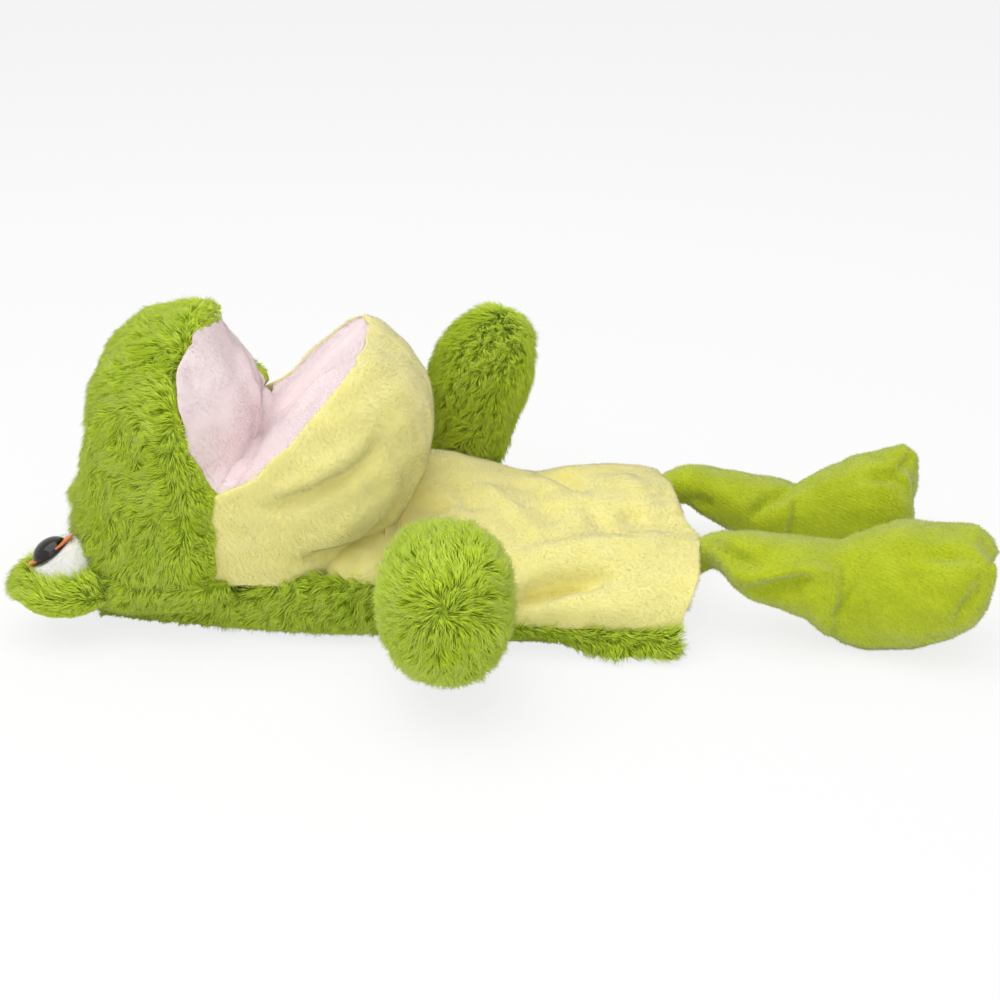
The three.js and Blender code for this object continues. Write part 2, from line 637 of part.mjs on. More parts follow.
function eye(side, name) {
  const group = new THREE.Group();
  const setback = side > 0 ? LEFT_EYE_SETBACK : 0;
  const y = side * EYE_SPREAD;
  group.position.set(crownX(y, EYE_HEIGHT) - EYE_STANDOFF + setback, y, EYE_HEIGHT);
  const look = new THREE.Vector3(EYE_LOOK[0], side * EYE_LOOK[1], EYE_LOOK[2]).normalize();
  group.quaternion.setFromUnitVectors(new THREE.Vector3(0, 0, 1), look);
  group.updateMatrixWorld(true);
  const toEye = group.matrixWorld.clone().invert();
  const headHere = puff(headSection(-SEAM_GAP, 0), HEAD_HALF_WIDTH + SEAM_GAP, 1, 14)
    .add(nape(-SEAM_GAP, 0, napeStart - SEAM_GAP, NECK_END))
    .transform(toEye.elements);
  const shankHole = solid(lathe(plug(SHANK_RADIUS + SEAM_GAP, shankEnd - SEAM_GAP, EYEBALL_DEPTH * 2), 12));
  const washerHole = solid(
    lathe(plug(WASHER_RADIUS + SEAM_GAP, washerTop - WASHER_THICKNESS - SEAM_GAP * 2, washerTop), 16),
  );
  const reach = EYEBALL_RADIUS * 2;
  const seatCut = solid(block([-reach, -reach, seat], [reach, reach, reach]));
  const white = solid(eyeball(0))
    .subtract(headHere)
    .subtract(seatCut)
    .subtract(shankHole)
    .subtract(washerHole);
  const lid = new THREE.SphereGeometry(1, 14, 9);
  lid.rotateX(Math.PI / 2);
  lid.scale(...LID_SIZE);
  lid.translate(group.position.x, y, EYE_HEIGHT - LID_DROP);
  const discHole = solid(lathe(plug(IRIS_RADIUS + FOLD_GAP, 0, EYEBALL_DEPTH * 2), 16));
  const lidBody = solid(lid, toEye)
    .subtract(headHere)
    .subtract(solid(eyeball(SEAM_GAP)))
    .subtract(discHole);
  const washerLow = washerTop - WASHER_THICKNESS - SEAM_GAP;
  const washerBore = SHANK_RADIUS + SEAM_GAP / 2;
  group.add(
    piece(`eye_white_${name}`, white, WHITE_PLUSH),
    piece(`eyelid_${name}`, lidBody, FUR),
    piece(
      `eye_iris_${name}`,
      solid(lathe(ring(SHANK_RADIUS + SEAM_GAP, IRIS_RADIUS, irisBase, irisBase + IRIS_THICKNESS), 16)),
      ORANGE_PLASTIC,
    ),
    piece(`eye_dome_${name}`, solid(lathe(domeProfile, 16)), BLACK_PLASTIC),
    piece(
      `eye_washer_${name}`,
      solid(lathe(ring(washerBore, WASHER_RADIUS, washerLow, washerLow + WASHER_THICKNESS), 12)),
      NYLON,
    ),
  );
  return group;
}

// Limbs: rounded sections along the limb's own axis, given as [along, half width, half thickness]
function limbForm(stations, inset, sides, rings, axisPoint) {
  const path = new THREE.CatmullRomCurve3(
    stations.map(([at, wide, thick]) => new THREE.Vector3(at, wide, thick)),
    false,
    "centripetal",
  );
  const list = [];
  for (let j = 0; j <= rings; j += 1) {
    const { x: at, y: wide, z: thick } = path.getPoint(j / rings);
    const loop = [];
    for (let i = 0; i < sides; i += 1) {
      const angle = (2 * Math.PI * i) / sides;
      const across = Math.max(SEAM_GAP, wide - inset) * power(Math.cos(angle), 0.9);
      const through = Math.max(SEAM_GAP, thick - inset) * power(Math.sin(angle), 0.9);
      loop.push(axisPoint(at, across, through));
    }
    list.push(loop);
  }
  return loft(list);
}

// Stations pulled in at the tip by the wall, and run on past the open root
function insideStations(stations, wall, opening) {
  const last = stations.length - 1;
  return stations.map(([at, wide, thick], i) => {
    if (i === 0) return [at - opening, stations[2][1], stations[2][2]];
    return [i === last ? at - wall : at - (wall * i) / last, wide, thick];
  });
}

// The seam end of a limb is round about its joint
const rootArc = (radius, halfWidth) =>
  [8, 40, 70].map((turn) => [
    -radius * Math.cos(rad(turn)),
    halfWidth * lerp(0.8, 1, turn / 90),
    radius * Math.sin(rad(turn)),
  ]);

// Arm along its own +Z, its width along X
const armStations = [
  ...rootArc(ARM_ROOT_RADIUS, ARM_ROOT_HALF_WIDTH),
  [0, ARM_ROOT_HALF_WIDTH, ARM_ROOT_RADIUS],
  [
    ARM_LENGTH * 0.28,
    lerp(ARM_ROOT_HALF_WIDTH, ARM_HALF_WIDTH, 0.6),
    lerp(ARM_ROOT_RADIUS, ARM_HALF_THICKNESS, 0.6),
  ],
  [ARM_LENGTH * 0.58, ARM_HALF_WIDTH, ARM_HALF_THICKNESS],
  [ARM_LENGTH * 0.82, ARM_HALF_WIDTH * 0.86, ARM_HALF_THICKNESS * 0.82],
  [ARM_LENGTH * 0.96, ARM_HALF_WIDTH * 0.45, ARM_HALF_THICKNESS * 0.42],
  [ARM_LENGTH, ARM_HALF_WIDTH * 0.1, ARM_HALF_THICKNESS * 0.1],
];
const leaning = (slant) => (at, across, through) =>
  new THREE.Vector3(across + Math.max(0, at) * Math.tan(rad(slant)), through, at);

// Where the arm's seam sits on the belly's side, and the way that the seam runs there
function shoulder(side) {
  const t = SHOULDER_BACK / TORSO_LENGTH;
  const reach = ARM_ROOT_HALF_WIDTH / TORSO_LENGTH;
  let arc = 0.5;
  while (bellyPoint(arc, t, 0).z > SHOULDER_HEIGHT) arc -= 0.002;
  const here = bellyPoint(arc, t, 0);
  const across = bellyPoint(arc + 0.01, t, 0).sub(here);
  const along = bellyPoint(arc, t + reach, 0).sub(bellyPoint(arc, t - reach, 0)).normalize();
  const out = new THREE.Vector3().crossVectors(along, across).normalize();
  const seam = here.addScaledVector(out, ARM_ROOT_RADIUS + ARM_SEAM_GAP);
  const mirror = new THREE.Vector3(1, -side, 1);
  return [seam.multiply(mirror), along.multiply(mirror)];
}

function arm(side, name, lift, slant) {
  const group = new THREE.Group();
  const [seam, along] = shoulder(side);
  group.position.copy(seam);
  group.quaternion.setFromUnitVectors(new THREE.Vector3(1, 0, 0), along);
  group.rotateX(side * -rad(90 - lift));
  const form = leaning(slant);
  const outer = solid(limbForm(armStations, 0, 16, 16, form));
  const hollow = solid(limbForm(insideStations(armStations, FUR_WALL, ROOT_PAST), FUR_WALL, 12, 8, form));
  const root = above(ARM_ROOT_RADIUS * 0.6);
  const filling = solid(
    limbForm(insideStations(armStations, FUR_WALL + SEAM_GAP, ROOT_PAST), FUR_WALL + SEAM_GAP, 12, 8, form),
  ).intersect(root);
  group.add(piece(`arm_cover_${name}`, outer.subtract(hollow), FUR));
  group.add(piece(`arm_fill_${name}`, filling, FILLING));
  return group;
}

// Leg along its own +X, its width along Y
const lengthwise = (at, across, through) => new THREE.Vector3(at, across, through);
const legStations = (length) => [
  ...rootArc(HIP_ROOT_RADIUS, HIP_HALF_WIDTH),
  [0, HIP_HALF_WIDTH, HIP_ROOT_RADIUS],
  [
    length * 0.35,
    lerp(HIP_HALF_WIDTH, LEG_HALF_WIDTH, 0.55),
    lerp(HIP_ROOT_RADIUS, LEG_HALF_THICKNESS, 0.6),
  ],
  [length * 0.7, LEG_HALF_WIDTH, LEG_HALF_THICKNESS * 0.97],
  [length, LEG_HALF_WIDTH, LEG_HALF_THICKNESS],
];
const heelFlat = ANKLE_RADIUS * 0.98;
const footStations = [
  [-ANKLE_RADIUS, HEEL_TIP, HEEL_TIP],
  [-ANKLE_RADIUS * 0.9, ANKLE_RADIUS * 0.42, ANKLE_RADIUS * 0.42],
  [-ANKLE_RADIUS * 0.55, ANKLE_RADIUS * 0.82, ANKLE_RADIUS * 0.82],
  [0, heelFlat, heelFlat],
  [FOOT_LENGTH * 0.3, lerp(heelFlat, FOOT_HALF_WIDTH, 0.65), lerp(heelFlat, FOOT_HALF_HEIGHT, 0.7)],
  [FOOT_LENGTH * 0.62, FOOT_HALF_WIDTH, FOOT_HALF_HEIGHT],
  [FOOT_LENGTH * 0.87, FOOT_HALF_WIDTH * 0.86, FOOT_HALF_HEIGHT * 0.78],
  [FOOT_LENGTH, FOOT_HALF_WIDTH * 0.4, FOOT_HALF_HEIGHT * 0.3],
];

// Toes: the front edge is pinched in at two places
function toed(at, across, through) {
  const front = smooth(at, FOOT_LENGTH * 0.5, FOOT_LENGTH);
  const pinch = 0.5 - 0.5 * Math.cos((across / FOOT_HALF_WIDTH) * Math.PI * 3);
  return new THREE.Vector3(at - TOE_DENT * pinch * front, across, through);
}

function leg(side, name, length) {
  const group = new THREE.Group();
  const stations = legStations(length);
  const arc = 0.5 + (side * HIP_SPREAD) / torsoHalf(1) / 3.1;
  const hem = bellyPoint(arc, 1, PLUSH_WALL / 2);
  group.position.set(hem.x + HIP_ROOT_RADIUS + HIP_SEAM_GAP, side * HIP_SPREAD, hem.z);
  const droop = Math.asin((hem.z - FOOT_HALF_HEIGHT - TABLE_GAP) / length);
  group.rotation.set(0, droop, -rad(LEG_SWAY), "ZYX");
  group.updateMatrixWorld(true);
  const ankle = new THREE.Vector3(length, 0, 0).applyMatrix4(group.matrixWorld);
  const ball = new THREE.SphereGeometry(ANKLE_RADIUS + SEAM_GAP, 20, 14);
  ball.translate(length, 0, 0);
  const socket = solid(ball);
  const rim = solid(block([-FAR, -FAR, -FAR], [length - ANKLE_SOCKET, FAR, FAR]));
  const outer = solid(limbForm(stations, 0, 16, 12, lengthwise)).intersect(rim).subtract(socket);
  const hollow = solid(limbForm(insideStations(stations, 0, ROOT_PAST), PLUSH_WALL, 12, 8, lengthwise));
  const gather = solid(block([HIP_ROOT_RADIUS, -FAR, -FAR], [FAR, FAR, FAR]));
  const bigBall = new THREE.SphereGeometry(ANKLE_RADIUS + SEAM_GAP + FOLD_GAP, 20, 14);
  bigBall.translate(length, 0, 0);
  const filling = solid(
    limbForm(insideStations(stations, 0, ROOT_PAST), PLUSH_WALL + SEAM_GAP, 12, 8, lengthwise),
  )
    .intersect(gather)
    .intersect(rim)
    .subtract(solid(bigBall));
  group.add(piece(`leg_cover_${name}`, outer.subtract(hollow), GREEN_PLUSH));
  group.add(piece(`leg_fill_${name}`, filling, FILLING));

  const foot = new THREE.Group();
  foot.position.copy(ankle);
  foot.rotation.z = -rad(LEG_SWAY);
  const footOuter = solid(limbForm(footStations, 0, 16, 12, toed));
  const insideFoot = (wall) =>
    solid(limbForm(insideStations(footStations, wall, ROOT_PAST), wall, 12, 9, toed));
  const heel = solid(block([-ANKLE_SOCKET, -FAR, -FAR], [FAR, FAR, FAR]));
  const footFill = insideFoot(PLUSH_WALL + FOLD_GAP).intersect(heel);
  foot.add(piece(`foot_cover_${name}`, footOuter.subtract(insideFoot(PLUSH_WALL)), GREEN_PLUSH));
  foot.add(piece(`foot_fill_${name}`, footFill, FILLING));
  return [group, foot];
}

const frog = new THREE.Group();
frog.add(
  piece("back_panel", backPanel, FUR),
  piece("belly_panel", bellyPanel, YELLOW_PLUSH),
  piece("hand_sleeve", handSleeve, LINING),
  piece("head_cover", headCover, FUR),
  piece("nape_panel", napePanel, FUR),
  piece("head_fill", headFill, FILLING),
  piece("finger_pocket", fingerPocket, LINING),
  piece("upper_palate", upperPalate, PINK_PLUSH),
  piece("chin_cover", chinCover, YELLOW_PLUSH),
  piece("chin_fill", chinFill, FILLING),
  piece("thumb_pocket", thumbPocket, LINING),
  piece("lower_palate", lowerPalate, PINK_PLUSH),
  eye(-1, "right"),
  eye(1, "left"),
  arm(-1, "right", RIGHT_ARM_LIFT, RIGHT_ARM_SLANT),
  arm(1, "left", LEFT_ARM_LIFT, LEFT_ARM_SLANT),
  ...leg(-1, "right", LEG_LENGTH),
  ...leg(1, "left", LEFT_LEG_LENGTH),
);

export default frog;
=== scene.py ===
# %% [markdown]
# A plush frog hand puppet lies on its back with its mouth open.
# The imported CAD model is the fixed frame: it says where every piece sits and what it moves with.
# This lesson dresses that frame in cloth: long fur, short plush, a woven lining and plastic eyes.
# Everything is in metres, in the same frame as the CAD, so nothing has to be fitted by eye.

# %% Load the frame
import json
import math

import bmesh
import bpy
import numpy as np
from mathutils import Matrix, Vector
from mathutils.bvhtree import BVHTree
from mathutils.kdtree import KDTree


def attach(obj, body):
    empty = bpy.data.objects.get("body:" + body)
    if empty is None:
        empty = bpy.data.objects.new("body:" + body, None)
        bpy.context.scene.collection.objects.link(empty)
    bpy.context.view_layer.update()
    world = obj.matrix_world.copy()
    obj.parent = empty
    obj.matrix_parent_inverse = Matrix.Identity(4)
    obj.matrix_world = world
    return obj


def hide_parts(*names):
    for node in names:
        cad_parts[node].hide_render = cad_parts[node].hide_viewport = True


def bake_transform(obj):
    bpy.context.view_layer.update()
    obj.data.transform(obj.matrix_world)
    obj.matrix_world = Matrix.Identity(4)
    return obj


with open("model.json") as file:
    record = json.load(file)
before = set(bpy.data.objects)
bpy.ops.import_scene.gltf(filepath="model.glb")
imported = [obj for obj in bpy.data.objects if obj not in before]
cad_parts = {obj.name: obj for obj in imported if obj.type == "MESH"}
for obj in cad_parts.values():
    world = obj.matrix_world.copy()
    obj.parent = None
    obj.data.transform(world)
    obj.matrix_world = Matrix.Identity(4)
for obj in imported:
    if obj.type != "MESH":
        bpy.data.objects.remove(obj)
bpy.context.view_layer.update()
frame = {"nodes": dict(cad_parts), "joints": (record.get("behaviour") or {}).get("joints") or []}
cad_nodes = frame["nodes"]
MM = 0.001

# %% [markdown]
# The camera looks from the frog's right side, 24 degrees above the table.
# Its place was worked out from the photograph: the table line, the length of the toy and the size of the eye.
# The same numbers turn a pixel of the 1000 by 1000 picture into a ray, which is how folds are placed later.

# %% Camera
PICTURE = 1000
FOCAL_PIXELS = 1724
SENSOR = 36.0
LOOK_AT = Vector((0, 0, 39 * MM))
CAMERA_DISTANCE = 735 * MM
CAMERA_ELEVATION = math.radians(24)
toward_camera = Vector((0, -math.cos(CAMERA_ELEVATION), math.sin(CAMERA_ELEVATION)))
camera_place = LOOK_AT + toward_camera * CAMERA_DISTANCE
camera_data = bpy.data.cameras.new("photo_camera")
camera_data.sensor_width = SENSOR
camera_data.lens = SENSOR * FOCAL_PIXELS / PICTURE
camera = bpy.data.objects.new("photo_camera", camera_data)
camera.location = camera_place
camera.rotation_euler = toward_camera.to_track_quat("Z", "Y").to_euler()
bpy.context.scene.collection.objects.link(camera)
bpy.context.scene.camera = camera
view_forward = -toward_camera
view_right = Vector((1, 0, 0))
view_up = view_right.cross(view_forward)


def pixel_ray(u, v):
    """Direction from the camera through a pixel of the picture."""
    across = (u - PICTURE / 2) / FOCAL_PIXELS
    rise = (PICTURE / 2 - v) / FOCAL_PIXELS
    return (view_forward + view_right * across + view_up * rise).normalized()


print("camera at", [round(x, 3) for x in camera_place], "lens", round(camera_data.lens, 2), "mm")

# %% [markdown]
# The toy lies on a pale table in soft studio light.
# One wide lamp overhead and one fill from the camera's side give gentle shade without hard edges.
# The background could be a white backdrop with more lamps on it, but then the toy would be lit too much.
# So the world is white only to the camera and to shiny surfaces, and dimmer as a light.

# %% Lamps
scene = bpy.context.scene
scene.view_settings.view_transform = "Standard"
LAMPS = {
    "overhead": {"place": (-0.25, -0.25, 1.15), "size": 1.3, "watts": 10.4},
    "front_fill": {"place": (0.2, -1.3, 0.55), "size": 1.0, "watts": 2.6},
}


def soft_lamp(name, place, size, watts):
    """Square lamp that faces the toy."""
    data = bpy.data.lights.new(name, "AREA")
    data.size = size
    data.energy = watts
    lamp = bpy.data.objects.new(name, data)
    lamp.location = place
    lamp.rotation_euler = (Vector(place) - LOOK_AT).to_track_quat("Z", "Y").to_euler()
    bpy.context.scene.collection.objects.link(lamp)
    return lamp


for name, lamp in LAMPS.items():
    soft_lamp(name, **lamp)
print("lamps:", len(LAMPS))

# %% Background
AMBIENT = 0.5
world = bpy.data.worlds.new("studio")
scene.world = world
world.use_nodes = True
tree = world.node_tree
tree.nodes.clear()
sky = tree.nodes.new("ShaderNodeBackground")
sky.inputs["Color"].default_value = (1, 1, 1, 1)
path = tree.nodes.new("ShaderNodeLightPath")
seen = tree.nodes.new("ShaderNodeMath")
seen.operation = "MAXIMUM"
shiny = tree.nodes.new("ShaderNodeMath")
shiny.operation = "MAXIMUM"
level = tree.nodes.new("ShaderNodeMapRange")
level.inputs["To Min"].default_value = AMBIENT
level.inputs["To Max"].default_value = 1.0
out = tree.nodes.new("ShaderNodeOutputWorld")
tree.links.new(path.outputs["Is Glossy Ray"], shiny.inputs[0])
tree.links.new(path.outputs["Is Transmission Ray"], shiny.inputs[1])
tree.links.new(path.outputs["Is Camera Ray"], seen.inputs[0])
tree.links.new(shiny.outputs[0], seen.inputs[1])
tree.links.new(seen.outputs[0], level.inputs["Value"])
tree.links.new(level.outputs["Result"], sky.inputs["Strength"])
tree.links.new(sky.outputs[0], out.inputs["Surface"])
print("world light:", AMBIENT)

# %% [markdown]
# The table is one large square. It looks nearly white to the camera and still takes the toy's soft shadow,
# because only part of its brightness comes from its own glow. It lies a hair below the toy.

# %% Table
TABLE_GLOW = 0.8
TABLE_HALF = 40
TABLE_DROP = 0.3 * MM
TABLE_GREY = 0.93
table_mesh = bpy.data.meshes.new("table_top")
table_mesh.from_pydata(
    [(x * TABLE_HALF, y * TABLE_HALF, 0) for x, y in ((-1, -1), (1, -1), (1, 1), (-1, 1))],
    [],
    [(0, 1, 2, 3)],
)
table = bpy.data.objects.new("table_top", table_mesh)
table.location.z = -TABLE_DROP
scene.collection.objects.link(table)
table_paint = bpy.data.materials.new("pale_table")
table_paint.use_nodes = True
tree = table_paint.node_tree
tree.nodes.clear()
paper = tree.nodes.new("ShaderNodeBsdfDiffuse")
paper.inputs["Color"].default_value = (TABLE_GREY, TABLE_GREY, TABLE_GREY, 1)
glow = tree.nodes.new("ShaderNodeEmission")
glow.inputs["Color"].default_value = (1, 1, 1, 1)
path = tree.nodes.new("ShaderNodeLightPath")
share = tree.nodes.new("ShaderNodeMath")
share.operation = "MULTIPLY"
share.inputs[1].default_value = TABLE_GLOW
mix = tree.nodes.new("ShaderNodeMixShader")
out = tree.nodes.new("ShaderNodeOutputMaterial")
tree.links.new(path.outputs["Is Camera Ray"], share.inputs[0])
tree.links.new(share.outputs[0], mix.inputs[0])
tree.links.new(paper.outputs[0], mix.inputs[1])
tree.links.new(glow.outputs[0], mix.inputs[2])
tree.links.new(mix.outputs[0], out.inputs["Surface"])
table_mesh.materials.append(table_paint)
print("table glow:", TABLE_GLOW)

# %% [markdown]
# Cloth skins are made from copies of the CAD solids.
# A voxel remesh gives an even net of small squares, and a few rounds of smoothing turn the facets into
# soft stuffed shapes. The CAD solids themselves are never changed.
# A sculptor would do the same by hand; here the steps are code, so that every run gives the same toy.

# %% Points of a mesh
TABLE_GAP = 0.2 * MM


def points_of(obj):
    """Vertex places and normals of a mesh object."""
    count = len(obj.data.vertices)
    places = np.empty(count * 3)
    normals = np.empty(count * 3)
    obj.data.vertices.foreach_get("co", places)
    obj.data.vertices.foreach_get("normal", normals)
    return places.reshape(-1, 3), normals.reshape(-1, 3)


def triangles_of(obj):
    """Corner indices of the mesh's triangles."""
    obj.data.calc_loop_triangles()
    corners = np.empty(len(obj.data.loop_triangles) * 3, dtype=np.int64)
    obj.data.loop_triangles.foreach_get("vertices", corners)
    return corners.reshape(-1, 3)


def move_points(obj, places):
    """Put a mesh's points at new places; cloth never sinks into the table."""
    places[:, 2] = np.maximum(places[:, 2], TABLE_GAP)
    obj.data.vertices.foreach_set("co", np.ascontiguousarray(places).ravel())
    obj.data.update()


print("cloth stays above the table by", TABLE_GAP, "m")


# %% Skins from the CAD solids
def drop_loose_bubbles(mesh):
    """Keep only the largest connected surface of a mesh."""
    ends = np.empty(len(mesh.edges) * 2, dtype=np.int64)
    mesh.edges.foreach_get("vertices", ends)
    first, second = ends.reshape(-1, 2).T
    group = np.arange(len(mesh.vertices))
    while True:
        low = np.minimum(group[first], group[second])
        fresh = group.copy()
        np.minimum.at(fresh, first, low)
        np.minimum.at(fresh, second, low)
        fresh = fresh[fresh]
        if (fresh == group).all():
            break
        group = fresh
    names, sizes = np.unique(group, return_counts=True)
    keep = names[sizes.argmax()]
    build = bmesh.new()
    build.from_mesh(mesh)
    build.verts.ensure_lookup_table()
    spare = [build.verts[i] for i in np.flatnonzero(group != keep)]
    bmesh.ops.delete(build, geom=spare, context="VERTS")
    build.to_mesh(mesh)
    build.free()


def skin(name, node_names, voxel, rounds):
    """Even, relaxed cloth skin over one or more CAD solids, which it stands for."""
    build = bmesh.new()
    for node in node_names:
        build.from_mesh(cad_nodes[node].data)
    bmesh.ops.remove_doubles(build, verts=build.verts, dist=1e-6)
    raw = bpy.data.meshes.new(name)
    build.to_mesh(raw)
    build.free()
    obj = bpy.data.objects.new(name, raw)
    bpy.context.scene.collection.objects.link(obj)
    even = obj.modifiers.new("even_net", "REMESH")
    even.mode = "VOXEL"
    even.voxel_size = voxel
    relax = obj.modifiers.new("relax", "SMOOTH")
    relax.factor = 0.5
    relax.iterations = rounds
    graph = bpy.context.evaluated_depsgraph_get()
    cloth = bpy.data.meshes.new_from_object(obj.evaluated_get(graph))
    obj.modifiers.clear()
    obj.data = cloth
    cloth.name = name
    cloth.materials.clear()
    drop_loose_bubbles(cloth)
    cloth.shade_smooth()
    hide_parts(*node_names)
    print(name, "vertices:", len(cloth.vertices))
    return obj


# %% [markdown]
# Folds are what makes stuffed cloth look soft. Each one is drawn as a line of picture pixels,
# thrown from the camera onto the skin, and pressed in (or raised) with a bell-shaped profile.
# A fold on a side that the picture doesn't show is drawn as a line of points in space instead.
# Cloth simulation would make folds of its own; drawn ones lie where the real toy has them.

# %% Folds
def step(values, low, high):
    """Smooth rise from 0 at low to 1 at high."""
    share = np.clip((values - low) / (high - low), 0, 1)
    return share * share * (3 - 2 * share)


def spaced(line, count):
    """Evenly spaced points along a broken line."""
    line = np.array(line, float)
    steps = np.linalg.norm(np.diff(line, axis=0), axis=1)
    at = np.concatenate([[0], np.cumsum(steps)])
    wanted = np.linspace(0, at[-1], count)
    return np.stack([np.interp(wanted, at, line[:, k]) for k in range(line.shape[1])], axis=1)


def net_of(obj):
    """Search tree of a mesh, for rays and nearest points."""
    places, _ = points_of(obj)
    return BVHTree.FromPolygons(places.tolist(), triangles_of(obj).tolist())


def press(obj, width, depth, pixels=None, line=None, count=36):
    """Press a fold of some half width into a skin; a negative depth raises a ridge.
    Gives back the points that the line met."""
    places, _ = points_of(obj)
    net = net_of(obj)
    spots, ways, shares = [], [], []
    drawn = spaced(pixels if pixels else line, count)
    for i, spot in enumerate(drawn):
        if pixels:
            hit, normal, _, _ = net.ray_cast(camera_place, pixel_ray(*spot))
        else:
            hit, normal, _, _ = net.find_nearest(Vector(spot))
        if hit is None:
            continue
        spots.append(hit)
        ways.append(normal)
        shares.append(math.sin(math.pi * (i + 0.5) / count) ** 0.6)
    if not spots:
        print("fold missed", obj.name)
        return []
    spots = np.array(spots)
    ways = np.array(ways)
    apart = np.linalg.norm(places[:, None, :] - spots[None, :, :], axis=2)
    nearest = apart.argmin(axis=1)
    gap = apart[np.arange(len(places)), nearest]
    bell = np.exp(-((gap / width) ** 2)) * np.array(shares)[nearest]
    move_points(obj, places - ways[nearest] * (bell * depth)[:, None])
    return spots


def press_all(obj, folds):
    """Press a list of folds, each a half width and depth in millimetres and a line of pixels."""
    for width, depth, pixels in folds:
        press(obj, width * MM, depth * MM, pixels=pixels)


def ripple(obj, size, depth, seed):
    """Loose unevenness of stuffed cloth, from a few slow waves."""
    places, normals = points_of(obj)
    amount = waves(places, size, seed) * depth
    move_points(obj, places + normals * amount[:, None])


def waves(places, size, seed):
    """Smooth made-up field between about -1 and 1, alike on every run."""
    dice = np.random.default_rng(seed)
    total = np.zeros(len(places))
    for octave, weight in ((1.0, 0.5), (1.9, 0.3), (3.3, 0.2)):
        for _ in range(4):
            way = dice.normal(size=3)
            way *= 2 * math.pi * octave / (size * np.linalg.norm(way))
            total += weight * 0.5 * np.sin(places @ way + dice.uniform(0, 2 * math.pi))
    return total


def soften(obj, rounds):
    """A few rounds of smoothing after the folds."""
    relax = obj.modifiers.new("relax", "SMOOTH")
    relax.factor = 0.5
    relax.iterations = rounds
    graph = bpy.context.evaluated_depsgraph_get()
    smooth = bpy.data.meshes.new_from_object(obj.evaluated_get(graph))
    places = np.empty(len(smooth.vertices) * 3)
    smooth.vertices.foreach_get("co", places)
    obj.modifiers.clear()
    bpy.data.meshes.remove(smooth)
    move_points(obj, places.reshape(-1, 3))


print("fold tools ready")

# %% [markdown]
# Limp cloth hangs where its weight takes it. The picture shows its upper and lower outline,
# so the cloth is lifted or lowered, column by column, until its own outline runs along those two lines.
# It is moved only up and down, so it stays over what carries it when it is seen from another side.

# %% Outlines in the picture
COLUMN = 6
HUNG_GAP = 0.4 * MM


def seen_at(places):
    """Picture pixels and distance from the camera of places in space."""
    out_from = places - np.array(camera_place)
    depth = out_from @ np.array(view_forward)
    u = PICTURE / 2 + FOCAL_PIXELS * (out_from @ np.array(view_right)) / depth
    v = PICTURE / 2 - FOCAL_PIXELS * (out_from @ np.array(view_up)) / depth
    return u, v, depth


def lowest_and_highest(u, v, stops):
    """Upper and lower outline of a cloud of pixels, column by column."""
    column = np.clip(np.digitize(u, stops) - 1, 0, len(stops) - 2)
    upper = np.full(len(stops) - 1, np.nan)
    lower = np.full(len(stops) - 1, np.nan)
    for i in range(len(stops) - 1):
        here = v[column == i]
        if len(here):
            upper[i], lower[i] = here.min(), here.max()
    middle = (stops[:-1] + stops[1:]) / 2
    known = ~np.isnan(upper)
    soft = np.array([0.25, 0.5, 0.25])
    edges = []
    for edge in (upper, lower):
        full = np.interp(middle, middle[known], edge[known])
        edges.append(np.convolve(np.pad(full, 1, mode="edge"), soft, mode="valid"))
    return middle, edges[0], edges[1]


def hang_between(objs, upper, lower, loose=None):
    """Lift and lower limp cloth until its outline in the picture runs along two lines of pixels.
    loose says how freely each place may move, where the cloth is sewn down at an edge."""
    clouds = [points_of(obj)[0] for obj in objs]
    u, v, _ = seen_at(np.concatenate(clouds))
    stops = np.arange(u.min(), u.max() + COLUMN, COLUMN)
    middle, top, bottom = lowest_and_highest(u, v, stops)
    upper, lower = np.array(upper, float), np.array(lower, float)
    for obj, places in zip(objs, clouds):
        u, v, depth = seen_at(places)
        here_top, here_bottom = np.interp(u, middle, top), np.interp(u, middle, bottom)
        share = np.clip((v - here_top) / np.maximum(here_bottom - here_top, 1), 0, 1)
        new_top = np.interp(u, upper[:, 0], upper[:, 1])
        new_bottom = np.interp(u, lower[:, 0], lower[:, 1])
        wanted = new_top + share * (new_bottom - new_top)
        moved = places.copy()
        lift = (v - wanted) * depth / (FOCAL_PIXELS * math.cos(CAMERA_ELEVATION))
        moved[:, 2] += lift if loose is None else lift * loose(places)
        moved[:, 2] = np.maximum(moved[:, 2], HUNG_GAP)
        move_points(obj, moved)


print("outline columns of", COLUMN, "pixels")

# %% [markdown]
# Fur and plush are grown as real strands: thin closed spikes that bend over and clump together.
# Blender's own hair would be quicker to comb, but it is lost when the model is exported, so each strand
# is a small mesh. A strand's colour depends only on its own tint and on the place along it, written into
# a UV map: dark and quiet at the root, a painted shade, and paler at the tip, a painted highlight.

# %% Places for strands
SKIN_CLEAR = 0.8 * MM


def sprinkle(obj, per_mm2, seed):
    """Random places over a skin with the skin's normals there."""
    dice = np.random.default_rng(seed)
    places, normals = points_of(obj)
    corners = triangles_of(obj)
    a, b, c = (places[corners[:, k]] for k in range(3))
    area = 0.5 * np.linalg.norm(np.cross(b - a, c - a), axis=1)
    count = int(area.sum() / MM**2 * per_mm2)
    ladder = np.cumsum(area) / area.sum()
    pick = np.searchsorted(ladder, (np.arange(count) + dice.random(count)) / count)
    pick = np.minimum(pick, len(corners) - 1)
    s, t = dice.random(count), dice.random(count)
    flip = s + t > 1
    s[flip], t[flip] = 1 - s[flip], 1 - t[flip]
    weights = np.stack([1 - s - t, s, t], axis=1)[:, :, None]
    roots = (places[corners[pick]] * weights).sum(axis=1)
    ways = (normals[corners[pick]] * weights).sum(axis=1)
    ways /= np.linalg.norm(ways, axis=1)[:, None] + 1e-12
    return roots, ways


